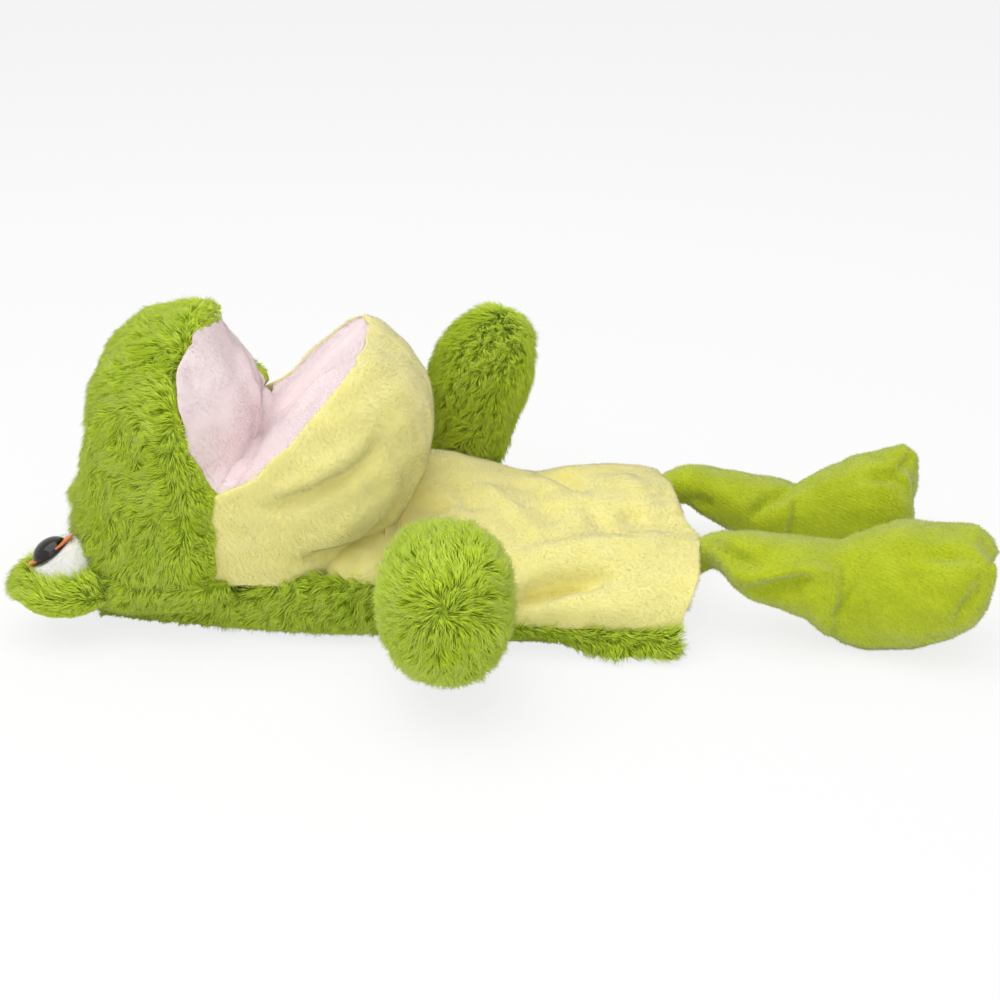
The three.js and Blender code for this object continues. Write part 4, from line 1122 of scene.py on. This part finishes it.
# %% Roof of the mouth
ROOF_FRONT = (1, 0, 0.2)
ROOF_SINK = -0.6 * MM
ROOF_WIDER = 0.08
ROOF_HIGHER = 0.16
ROOF_OUT = 0.8 * MM
ROOF_HEIGHT = (74 * MM, 92 * MM)
ROOF_NEAR_SIDE = (6 * MM, 26 * MM)
FAR_EDGE_SIDE = (-8 * MM, 2 * MM)
FAR_EDGE_HEIGHT = (84 * MM, 94 * MM)
ROOF_FOLDS = [  # half width and depth in mm, and the line in the picture
    (4.0, -2.4, [(240, 350), (252, 385), (257, 412), (250, 440), (236, 484)]),
    (3.0, 1.6, [(252, 372), (263, 396), (266, 416), (258, 440), (242, 478)]),
    (3.5, 0.9, [(186, 366), (194, 376), (206, 380)]),
]


def far_upper_edge(spots):
    """The part of the roof's border that is sewn a second time, after its softening."""
    return step(spots[:, 1], *FAR_EDGE_SIDE) * step(spots[:, 2], *FAR_EDGE_HEIGHT)


roof_skin = skin("upper_palate_skin", ["upper_palate"], voxel=1.4 * MM, rounds=8)
sew_to_rim(roof_skin, crown_skin, ROOF_FRONT, ROOF_SINK)
places, _ = points_of(roof_skin)
upper = step(places[:, 2], *ROOF_HEIGHT) * step(-places[:, 1], *ROOF_NEAR_SIDE)
places[:, 0] += ROOF_OUT * upper
places[:, 1] *= 1 + ROOF_WIDER * upper
places[:, 2] += ROOF_HIGHER * upper * (places[:, 2] - ROOF_HEIGHT[0])
move_points(roof_skin, places)
soften(roof_skin, 4)
sew_to_rim(roof_skin, crown_skin, ROOF_FRONT, ROOF_SINK, far_upper_edge)
press_all(roof_skin, ROOF_FOLDS)
ripple(roof_skin, size=34 * MM, depth=0.7 * MM, seed=6)
roof_pile = grow_pile("upper_palate_pile", roof_skin, ["upper_palate", "head_cover"],
                      steady(0.3, -0.4, -1), seed=51, swirl=0.6)
wear([roof_skin], pink_ground, "head")
wear(roof_pile, pink_pile, "head")

# %% Floor of the mouth
FLOOR_CREASE = [(278, 408), (305, 383), (335, 353), (364, 324)]
FLOOR_RIDGE = [(u + 8, v + 12) for u, v in FLOOR_CREASE[:3]]
FLOOR_FRONT = (-0.6, 0, 0.8)
FLOOR_SINK = -0.8 * MM
CREASE_STEPS = 60
CREASE_CLEAR = (4, 9)
floor_skin = skin("lower_palate_skin", ["lower_palate"], voxel=1.4 * MM, rounds=6)
sew_to_rim(floor_skin, chin_skin, FLOOR_FRONT, FLOOR_SINK)
soften(floor_skin, 8)
crease_spots = press(floor_skin, 2.8 * MM, 9.0 * MM, pixels=FLOOR_CREASE, count=CREASE_STEPS)
press(floor_skin, 6.0 * MM, -3.0 * MM, pixels=FLOOR_RIDGE)
ripple(floor_skin, size=34 * MM, depth=0.6 * MM, seed=7)


def none_in_crease(roots, ways):
    """No pile shows in the depth of the floor's crease."""
    u, v, _ = seen_at(roots)
    crease = spaced(FLOOR_CREASE, 40)
    apart = np.hypot(u[:, None] - crease[None, :, 0], v[:, None] - crease[None, :, 1]).min(axis=1)
    return step(apart, *CREASE_CLEAR)


floor_pile = grow_pile("lower_palate_pile", floor_skin, ["lower_palate", "chin_cover"], steady(1, -0.3, 0.6),
                       seed=56, swirl=0.6, trim=none_in_crease)
wear([floor_skin], pink_ground, "jaw")
wear(floor_pile, pink_pile, "jaw")

# %% [markdown]
# Roof and floor meet at the back of the mouth in a soft roll of the same plush, over the line where the
# jaw turns. It could be a bent tube of cloth; a turned form with slim ends, bent back, is simpler and closed.

# %% Turned forms
TURN_STEPS = 64


def turned(name, profile, centre, long_way, short_way, axis, stretch_long=1.0, stretch_short=1.0, pinch=0.0):
    """Closed turned form about an axis, from pairs of radius and height; pinch draws two sides to points."""
    rings = []
    angle = np.linspace(0, 2 * math.pi, TURN_STEPS, endpoint=False)
    rise = np.sin(angle) * np.abs(np.sin(angle)) ** pinch
    across = np.cos(angle)[:, None] * long_way * stretch_long + rise[:, None] * short_way * stretch_short
    for radius, height in profile:
        rings.append(centre + axis * height * MM + across * radius * MM)
    places = np.concatenate(rings).tolist()
    faces = []
    for j in range(len(profile) - 1):
        for i in range(TURN_STEPS):
            after = (i + 1) % TURN_STEPS
            first, second = j * TURN_STEPS, (j + 1) * TURN_STEPS
            faces.append((first + i, first + after, second + after, second + i))
    faces.append(tuple(range(TURN_STEPS))[::-1])
    faces.append(tuple(range(len(places) - TURN_STEPS, len(places))))
    mesh = bpy.data.meshes.new(name)
    mesh.from_pydata(places, [], faces)
    mesh.shade_smooth()
    obj = bpy.data.objects.new(name, mesh)
    bpy.context.scene.collection.objects.link(obj)
    return obj


print("steps in a turn:", TURN_STEPS)

# %% The fold at the back of the mouth
FOLD_RADIUS = 5.5
FOLD_HALF = 60
FOLD_BEND = 5 * MM
FOLD_MIDDLE = np.array([-103.5, 0, 66.5]) * MM
FOLD_STATIONS = np.linspace(-0.98, 0.98, 41)
fold_profile = [(FOLD_RADIUS * (1 - abs(s) ** 8) ** 0.5, FOLD_HALF * s) for s in FOLD_STATIONS]
ALONG, ACROSS, UP = np.eye(3)
mouth_fold = turned("mouth_fold", fold_profile, FOLD_MIDDLE, UP, ALONG, ACROSS)
places, _ = points_of(mouth_fold)
places[:, 0] -= FOLD_BEND * (places[:, 1] / (FOLD_HALF * MM)) ** 4
move_points(mouth_fold, places)
ripple(mouth_fold, size=22 * MM, depth=0.8 * MM, seed=19)
FOLD_NODES = ["upper_palate", "lower_palate", "head_cover", "chin_cover"]
fold_pile = grow_pile("mouth_fold_pile", mouth_fold, FOLD_NODES, steady(0.2, -1, 0.2), seed=58, swirl=0.6)
wear([mouth_fold], pink_ground, "head")
wear(fold_pile, pink_pile, "head")

# %% [markdown]
# Below the chin the throat is a slack pillow of the same plush, which joins chin and belly.
# It is drawn as arched sections, like the ribs of a tent, with cloth of even thickness over them.

# %% Throat
BELLY_TURNS = ((-38 * MM, 0, 0), (-52 * MM, 0, 0))
THROAT_SECTIONS = [  # X, half width, height of the sides, height of the middle, in mm
    (-34, 50.0, 24, 35),
    (-40, 54.5, 26, 40),
    (-46, 57.0, 27, 43),
    (-52, 58.0, 27, 44),
    (-58, 57.5, 27, 43),
    (-64, 55.0, 27, 40),
    (-70, 50.0, 28, 35),
]
THROAT_WALL = 2.4
THROAT_ACROSS = 41
THROAT_ROUNDING = 0.62
THROAT_FOLD = [(346, 579), (352, 567), (360, 549)]


def throat_grid(inset, across):
    """Arched sections from the belly's front edge forward under the chin."""
    rows = []
    for x, half, low, high in THROAT_SECTIONS:
        angle = np.linspace(math.pi, 0, across)
        y = (half - inset) * np.sign(np.cos(angle)) * np.abs(np.cos(angle)) ** THROAT_ROUNDING
        z = low + (high - low - inset) * np.sin(angle) ** THROAT_ROUNDING
        rows.append(np.stack([np.full(across, float(x)), y, z], axis=1))
    return np.array(rows) * MM


def thick_cloth(name, outer, inner):
    """Closed cloth between an outer and an inner grid of points."""
    along, across = outer.shape[:2]
    count = along * across
    number = np.arange(count).reshape(along, across)
    faces = []
    for j in range(along - 1):
        for i in range(across - 1):
            a, b, c, d = number[j, i], number[j, i + 1], number[j + 1, i + 1], number[j + 1, i]
            faces += [(a, b, c, d), (d + count, c + count, b + count, a + count)]
    rim = [*number[0], *number[1:, -1], *number[-1, -2::-1], *number[-2:0:-1, 0]]
    for a, b in zip(rim, rim[1:] + rim[:1]):
        faces.append((b, a, a + count, b + count))
    mesh = bpy.data.meshes.new(name)
    mesh.from_pydata(np.concatenate([outer.reshape(-1, 3), inner.reshape(-1, 3)]).tolist(), [], faces)
    obj = bpy.data.objects.new(name, mesh)
    bpy.context.scene.collection.objects.link(obj)
    finer = obj.modifiers.new("finer", "SUBSURF")
    finer.levels = 2
    finer.render_levels = 2
    graph = bpy.context.evaluated_depsgraph_get()
    obj.data = bpy.data.meshes.new_from_object(obj.evaluated_get(graph))
    obj.modifiers.clear()
    obj.data.shade_smooth()
    return obj


outer_grid = throat_grid(0, THROAT_ACROSS)
inner_grid = throat_grid(THROAT_WALL, THROAT_ACROSS)
throat_cloth = thick_cloth("throat_cloth", outer_grid, inner_grid)
press(throat_cloth, 3.0 * MM, 2.4 * MM, pixels=THROAT_FOLD)
ripple(throat_cloth, size=30 * MM, depth=0.8 * MM, seed=17)
throat_pile = grow_pile("throat_pile", throat_cloth, ["belly_panel", "chin_cover", "chin_fill", "nape_panel"],
                        steady(0.5, 0, -1), seed=63)
wear([throat_cloth], yellow_ground, ("torso", "head"), BELLY_TURNS)
wear(throat_pile, yellow_pile, ("torso", "head"), BELLY_TURNS)

# %% [markdown]
# The belly is the top of the sleeve: one slack sheet of yellow plush sewn to the back along both sides.
# A ridge runs slantwise over it, with a long valley below, a tongue-shaped crease and a dimple above.
# The valley is pressed in last, because smoothing after it would fill it up again.

# %% Belly
BELLY_FAR_EDGE = [
    (395, 452), (425, 450), (454, 452), (495, 462), (519, 470), (540, 471), (571, 465),
    (608, 464), (640, 466), (657, 469), (674, 485), (684, 508), (694, 526), (706, 536),
]
BELLY_NEAR_EDGE = [
    (395, 612), (519, 625), (614, 629), (660, 632), (677, 631), (690, 611), (700, 585), (706, 546),
]
BELLY_FOLDS = [  # half width and depth in mm, and the line in the picture
    (8.0, -4.0, [(517, 563), (560, 552), (597, 546), (640, 538), (680, 536)]),
    (8.0, -4.0, [(545, 612), (610, 607), (666, 601)]),
    (4.2, 4.6, [(538, 471), (567, 479), (588, 493)]),
    (7.5, -3.0, [(556, 491), (540, 485), (522, 483)]),
    (7.5, -3.0, [(598, 484), (625, 482), (650, 488)]),
    (4.5, 4.0, [(619, 511), (632, 515), (647, 513)]),
    (5.0, 3.0, [(602, 532), (635, 530), (658, 524), (674, 514)]),
    (5.0, -2.4, [(480, 482), (510, 508), (532, 525)]),
    (5.0, 3.0, [(536, 501), (553, 512), (548, 530)]),
    (5.0, 3.0, [(586, 501), (600, 520), (606, 536)]),
    (4.4, 4.0, [(419, 498), (436, 505), (450, 495)]),
    (4.0, 2.6, [(420, 500), (424, 519)]),
    (5.5, 2.6, [(460, 478), (466, 498), (480, 512)]),
]
BELLY_VALLEY = [(500, 616), (522, 601), (545, 588), (567, 580), (592, 577), (616, 574)]
BELLY_LOOSE = (14 * MM, 25 * MM)
BELLY_SEAM_DROP = 2.4 * MM
BELLY_SEAM_HEIGHT = (14 * MM, 22 * MM)
belly_skin = skin("belly_skin", ["belly_panel"], voxel=1.3 * MM, rounds=5)
pull_hem(belly_skin)
hang_between([belly_skin], BELLY_FAR_EDGE, BELLY_NEAR_EDGE, lambda spots: step(spots[:, 2], *BELLY_LOOSE))
soften(belly_skin, 3)
places, _ = points_of(belly_skin)
places[:, 2] -= BELLY_SEAM_DROP * (1 - step(places[:, 2], *BELLY_SEAM_HEIGHT))
move_points(belly_skin, places)
press_all(belly_skin, BELLY_FOLDS)
ripple(belly_skin, size=30 * MM, depth=0.8 * MM, seed=9)
soften(belly_skin, 6)
press(belly_skin, 4.6 * MM, 11 * MM, pixels=BELLY_VALLEY)
soften(belly_skin, 2)
belly_pile = grow_pile("belly_pile", belly_skin, ["belly_panel"], steady(1, -0.2, -0.2), seed=66)
wear([belly_skin], yellow_ground, ("torso", "head"), BELLY_TURNS)
wear(belly_pile, yellow_pile, ("torso", "head"), BELLY_TURNS)

# %% [markdown]
# The arms are fur mittens, stuffed firmly. Their pile starts in a whorl at the tip and runs back to the
# shoulder. The tip is found as the point farthest from the shoulder's joint.

# %% Arms
ARM_SWELL = {"right": 2.4 * MM, "left": 0.6 * MM}
ARM_SHIFT = {"right": (0, 0, 0), "left": (3 * MM, 0, -1.5 * MM)}


def joint_place(name):
    """Where a joint of the frame sits."""
    return np.array(next(joint for joint in frame["joints"] if joint["name"] == name)["pos_m"])


def swell(obj, amount):
    """Puff a skin up along its normals."""
    places, normals = points_of(obj)
    move_points(obj, places + normals * amount)


for side in ("right", "left"):
    names = [f"arm_cover_{side}", f"arm_fill_{side}"]
    arm_skin = skin(f"arm_skin_{side}", names, voxel=1.8 * MM, rounds=6)
    swell(arm_skin, ARM_SWELL[side])
    places, _ = points_of(arm_skin)
    move_points(arm_skin, places + np.array(ARM_SHIFT[side]))
    ripple(arm_skin, size=30 * MM, depth=0.8 * MM, seed=12)
    places, _ = points_of(arm_skin)
    tip = places[np.linalg.norm(places - joint_place(f"shoulder_{side}"), axis=1).argmax()]
    arm_fur = grow(f"arm_fur_{side}", arm_skin, names, FUR_DENSITY, FUR_LENGTH, FUR_WIDTH,
                   lambda spots, tip=tip: spots - tip, lean=(36, 66), seed=71, swirl=0.4, curl=0.5, clump=0.1)
    wear([arm_skin], fur_ground, f"arm_{side}")
    wear(arm_fur, fur_strands, f"arm_{side}")

# %% [markdown]
# Legs and feet are velvety green plush, thinly filled, so the legs crumple and hang in the air.
# Leg and foot are one skin, with the ankle's seam drawn in and the toes pinched; its points stay in place.
# Their outline in the picture says how high they lie, and the roots are tucked under the belly's hem.

# %% Outlines and folds of the legs
LEG_OUTLINES = {  # upper and lower outline in the picture
    "right": (
        [(698, 538), (706, 535), (722, 529), (743, 529), (810, 536), (840, 542), (853, 534), (895, 519),
         (911, 518), (931, 522), (975, 523), (990, 533), (996, 549)],
        [(698, 576), (711, 568), (722, 571), (732, 586), (750, 599), (782, 610), (805, 618), (821, 630),
         (846, 644), (867, 650), (911, 650), (954, 637), (979, 624), (988, 606), (996, 560)],
    ),
    "left": (
        [(655, 470), (677, 464), (709, 466), (732, 470), (769, 476), (798, 482), (824, 469), (851, 455),
         (883, 448), (902, 445), (914, 450), (921, 471)],
        [(655, 488), (681, 498), (695, 509), (722, 526), (760, 545), (800, 560), (850, 566), (900, 560),
         (915, 540), (921, 500)],
    ),
}
LEG_FOLDS = {  # half width and depth in mm, and the line in the picture
    "right": [
        (3.4, 5.0, [(712, 540), (736, 556), (758, 569)]),
        (4.0, -4.0, [(722, 568), (750, 579), (790, 573), (835, 574)]),
        (4.2, 5.0, [(748, 594), (782, 589), (818, 579)]),
        (3.2, 3.0, [(925, 556), (952, 555), (968, 556), (982, 559)]),
        (2.6, 2.4, [(981, 578), (977, 595), (962, 613), (956, 628)]),
        (2.0, 1.6, [(857, 544), (860, 565), (853, 591), (837, 614), (822, 628)]),
    ],
    "left": [
        (3.4, 5.0, [(790, 490), (769, 499), (748, 519)]),
        (3.2, 3.0, [(693, 497), (702, 504), (714, 507)]),
        (3.4, 3.4, [(863, 477), (893, 476), (902, 483), (913, 499)]),
        (2.6, 2.4, [(895, 474), (905, 463), (912, 454)]),
    ],
}
print("leg folds:", {side: len(folds) for side, folds in LEG_FOLDS.items()})

# %% Legs and feet
LEG_ROOT_ZONE = (80 * MM, 100 * MM)
LEG_ROOT_REACH = {"right": 3 * MM, "left": 9 * MM}
LEG_ROOT_DROP = 3.5 * MM
LEG_ROOT_SHIFT = 14 * MM
LEG_ROOT_TAPER = 0.35
LEG_TUCK = 14 * MM
LEG_TUCK_START = {"right": 80 * MM, "left": 72 * MM}
LEG_TUCK_LENGTH = 14 * MM
LEG_INTO_HEM = {"right": 0, "left": 9 * MM}
LEG_BELOW_HEM = 0.8
FOOT_SCALE = {"right": 1.0, "left": 0.89}
ANKLE_SEAM_LEAN = math.radians(22)
ANKLE_LEAN_REACH = 24 * MM
ANKLE_HALF_WIDTH = 30 * MM
ANKLE_HALF_HEIGHT = 26 * MM
ANKLE_BEND = (-14, 6)
for side in ("right", "left"):
    names = [f"{part}_{side}" for part in ("leg_cover", "leg_fill", "foot_cover", "foot_fill")]
    leg_skin = skin(f"leg_skin_{side}", names, voxel=1.5 * MM, rounds=8)
    ankle = joint_place(f"ankle_{side}")
    places, _ = points_of(leg_skin)
    at_root = 1 - step(places[:, 0], *LEG_ROOT_ZONE)
    places[:, 0] -= LEG_ROOT_REACH[side] * at_root
    places[:, 2] -= LEG_ROOT_DROP * at_root
    inward = ankle[1] - np.sign(ankle[1]) * LEG_ROOT_SHIFT - places[:, 1]
    places[:, 1] += LEG_ROOT_TAPER * at_root * inward
    past = np.maximum(0, places[:, 0] - ankle[0])
    places[:, 0] -= past * (1 - FOOT_SCALE[side])
    move_points(leg_skin, places)
    hang_between([leg_skin], *LEG_OUTLINES[side])
    soften(leg_skin, 4)
    press_all(leg_skin, LEG_FOLDS[side])
    places, _ = points_of(leg_skin)
    sight = places - np.array(camera_place)
    sight /= np.linalg.norm(sight, axis=1)[:, None]
    tuck_start = LEG_TUCK_START[side]
    tucked = 1 - step(places[:, 0], tuck_start, tuck_start + LEG_TUCK_LENGTH)
    places += sight * (LEG_TUCK * tucked)[:, None]
    places[:, 0] -= LEG_INTO_HEM[side] * tucked
    places[:, 2] -= LEG_BELOW_HEM * LEG_INTO_HEM[side] * tucked
    move_points(leg_skin, places)
    turn = np.linspace(-0.5 * math.pi, 0.5 * math.pi, 40)
    lean = math.tan(ANKLE_SEAM_LEAN) * np.sin(turn) * ANKLE_LEAN_REACH
    seam_y = ankle[1] + ANKLE_HALF_WIDTH * np.cos(turn)
    seam_z = ankle[2] + ANKLE_HALF_HEIGHT * np.sin(turn)
    seam = np.stack([ankle[0] + lean, seam_y, seam_z], axis=1)
    press(leg_skin, 2.0 * MM, 1.6 * MM, line=seam.tolist(), count=80)
    ripple(leg_skin, size=30 * MM, depth=0.7 * MM, seed=14)
    leg_pile = grow_pile(f"leg_pile_{side}", leg_skin, names, steady(1, 0, -0.3), seed=81)
    bodies = (f"leg_{side}", f"foot_{side}")
    turns = [tuple(ankle + np.array([x * MM, 0, 0])) for x in ANKLE_BEND]
    wear([leg_skin], green_ground, bodies, turns)
    wear(leg_pile, green_pile, bodies, turns)

# %% [markdown]
# Each eye is a white plush ball with a green fur lid under it. The lid's fur is combed back over the ball,
# long at the brow and clipped short below, where it would lie on the crown.

# %% Eyeballs and lids
LID_LIFT = 3.5 * MM
LID_FUR_LENGTH = 8 * MM
LID_DENSITY = 3.2
BALL_DENSITY = 3.0
BALL_PILE_LENGTH = 1.8 * MM
BALL_PILE_WIDTH = 0.22 * MM
SHORTEST_UNDER_LID = 0.3


def lid_trim(roots, ways):
    """The lid's underside is clipped short, its brow is long."""
    return SHORTEST_UNDER_LID + (1 - SHORTEST_UNDER_LID) * step(ways[:, 2], -0.6, 0.3)


for side in ("right", "left"):
    ball = skin(f"eyeball_skin_{side}", [f"eye_white_{side}"], voxel=1.0 * MM, rounds=3)
    ball_pile = grow(f"eyeball_pile_{side}", ball, [f"eye_white_{side}"], BALL_DENSITY, BALL_PILE_LENGTH,
                     BALL_PILE_WIDTH, steady(-0.5, 0, 0.8), lean=(35, 35), seed=91, swirl=0.8, reach=2 * MM,
                     single=True)
    wear([ball], white_ground, "head")
    wear(ball_pile, white_pile, "head")
    lid = skin(f"eyelid_skin_{side}", [f"eyelid_{side}"], voxel=1.2 * MM, rounds=4)
    places, _ = points_of(lid)
    places[:, 2] += LID_LIFT
    move_points(lid, places)
    lid_fur = grow(f"eyelid_fur_{side}", lid, [f"eyelid_{side}"], LID_DENSITY, LID_FUR_LENGTH, FUR_WIDTH,
                   steady(-1, 0, 0.1), lean=(46, 70), seed=95, swirl=0.3, curl=0.25, clump=0.1,
                   reach=4 * MM, trim=lid_trim)
    wear([lid], fur_ground, "head")
    wear(lid_fur, fur_strands, "head")

# %% [markdown]
# The orange iris is a flat moulded disc with two pointed corners, and the black dome sits on it with its
# shank through a hole. Both are turned anew with many more steps than the CAD has, so that no facet shows.
# They take their place and tilt from the CAD disc: the thin way of its points is its axis.

# %% Irises and domes
IRIS_LONG = 12.0
IRIS_SHORT = 6.8
IRIS_PINCH = 0.5
IRIS_PROFILE = [(0.24, -0.6), (0.96, -0.6), (1.0, -0.3), (1.0, 0.1), (0.97, 0.35), (0.85, 0.5), (0.24, 0.5)]
EYE_TILT = math.radians(12)
DOME_RADIUS = 7.8
DOME_HEIGHT = 6.0
DOME_SEAT = -1.2 * MM
DOME_SHANK = [(2.0, -7.0), (2.0, -0.4), (7.4, -0.4)]
dome_turns = np.linspace(0, math.pi / 2, 16)[:-1]
dome_profile = DOME_SHANK + [(DOME_RADIUS * math.cos(a), DOME_HEIGHT * math.sin(a)) for a in dome_turns]
for side in ("right", "left"):
    disc, _ = points_of(cad_nodes[f"eye_iris_{side}"])
    centre = (disc.min(axis=0) + disc.max(axis=0)) / 2
    axis = np.linalg.svd(disc - disc.mean(axis=0))[2][2]
    axis = axis * np.sign(axis[2])
    inward = np.array([0, -np.sign(centre[1]), 0])
    axis = axis * math.cos(EYE_TILT) + inward * math.sin(EYE_TILT)
    axis /= np.linalg.norm(axis)
    long_way = np.array([1.0, 0, 0]) - axis * axis[0]
    long_way /= np.linalg.norm(long_way)
    short_way = np.cross(axis, long_way)
    iris = turned(f"iris_{side}", IRIS_PROFILE, centre, long_way, short_way, axis,
                  IRIS_LONG, IRIS_SHORT, IRIS_PINCH)
    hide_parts(f"eye_iris_{side}")
    wear([iris], orange_plastic, "head")
    dome = turned(f"dome_{side}", dome_profile, centre + axis * DOME_SEAT, long_way, short_way, axis)
    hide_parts(f"eye_dome_{side}")
    wear([dome], black_plastic, "head")
    washer = cad_nodes[f"eye_washer_{side}"]
    washer.data.materials.clear()
    washer.data.materials.append(nylon)
print("eyes done")

# %% [markdown]
# Inside are the woven lining, the finger and thumb pouches and the fibre filling. The lining is slack, so
# it is drawn in and sags a little, and the thumb pouch follows the crease of the mouth's floor above it.

# %% Lining
LININGS = [  # piece, CAD node and body
    ("sleeve_lining", "hand_sleeve", "torso"),
    ("finger_pouch", "finger_pocket", "head"),
    ("thumb_pouch", "thumb_pocket", "jaw"),
]
LINING_SLACK = 0.14
LINING_SAG = 6 * MM
LINING_INSIDE = (48 * MM, 74 * MM)
LINING_TOP = (8 * MM, 24 * MM)
for name, node, body in LININGS:
    lining = skin(name, [node], voxel=0.8 * MM, rounds=2)
    if node == "hand_sleeve":
        pull_hem(lining)
        places, _ = points_of(lining)
        inside = 1 - step(places[:, 0], *LINING_INSIDE)
        places[:, 1] *= 1 - LINING_SLACK * inside
        places[:, 2] -= LINING_SAG * inside * step(places[:, 2], *LINING_TOP)
        move_points(lining, places)
    if node == "thumb_pocket":
        press(lining, 5.0 * MM, 6.0 * MM, line=crease_spots.tolist(), count=CREASE_STEPS)
    wear([lining], weave, body)
    cloth_area = sum(face.area for face in lining.data.polygons) / 2
    print(name, "cloth:", round(cloth_area, 5), "square metres")

# %% Filling
FILLING_SHRINK = 0.94
for name, node, body in (("crown_filling", "head_fill", "head"), ("chin_filling", "chin_fill", "jaw")):
    filling = skin(name, [node], voxel=2.0 * MM, rounds=4)
    places, _ = points_of(filling)
    middle = (places.min(axis=0) + places.max(axis=0)) / 2
    move_points(filling, middle + (places - middle) * FILLING_SHRINK)
    wear([filling], fibre, body)
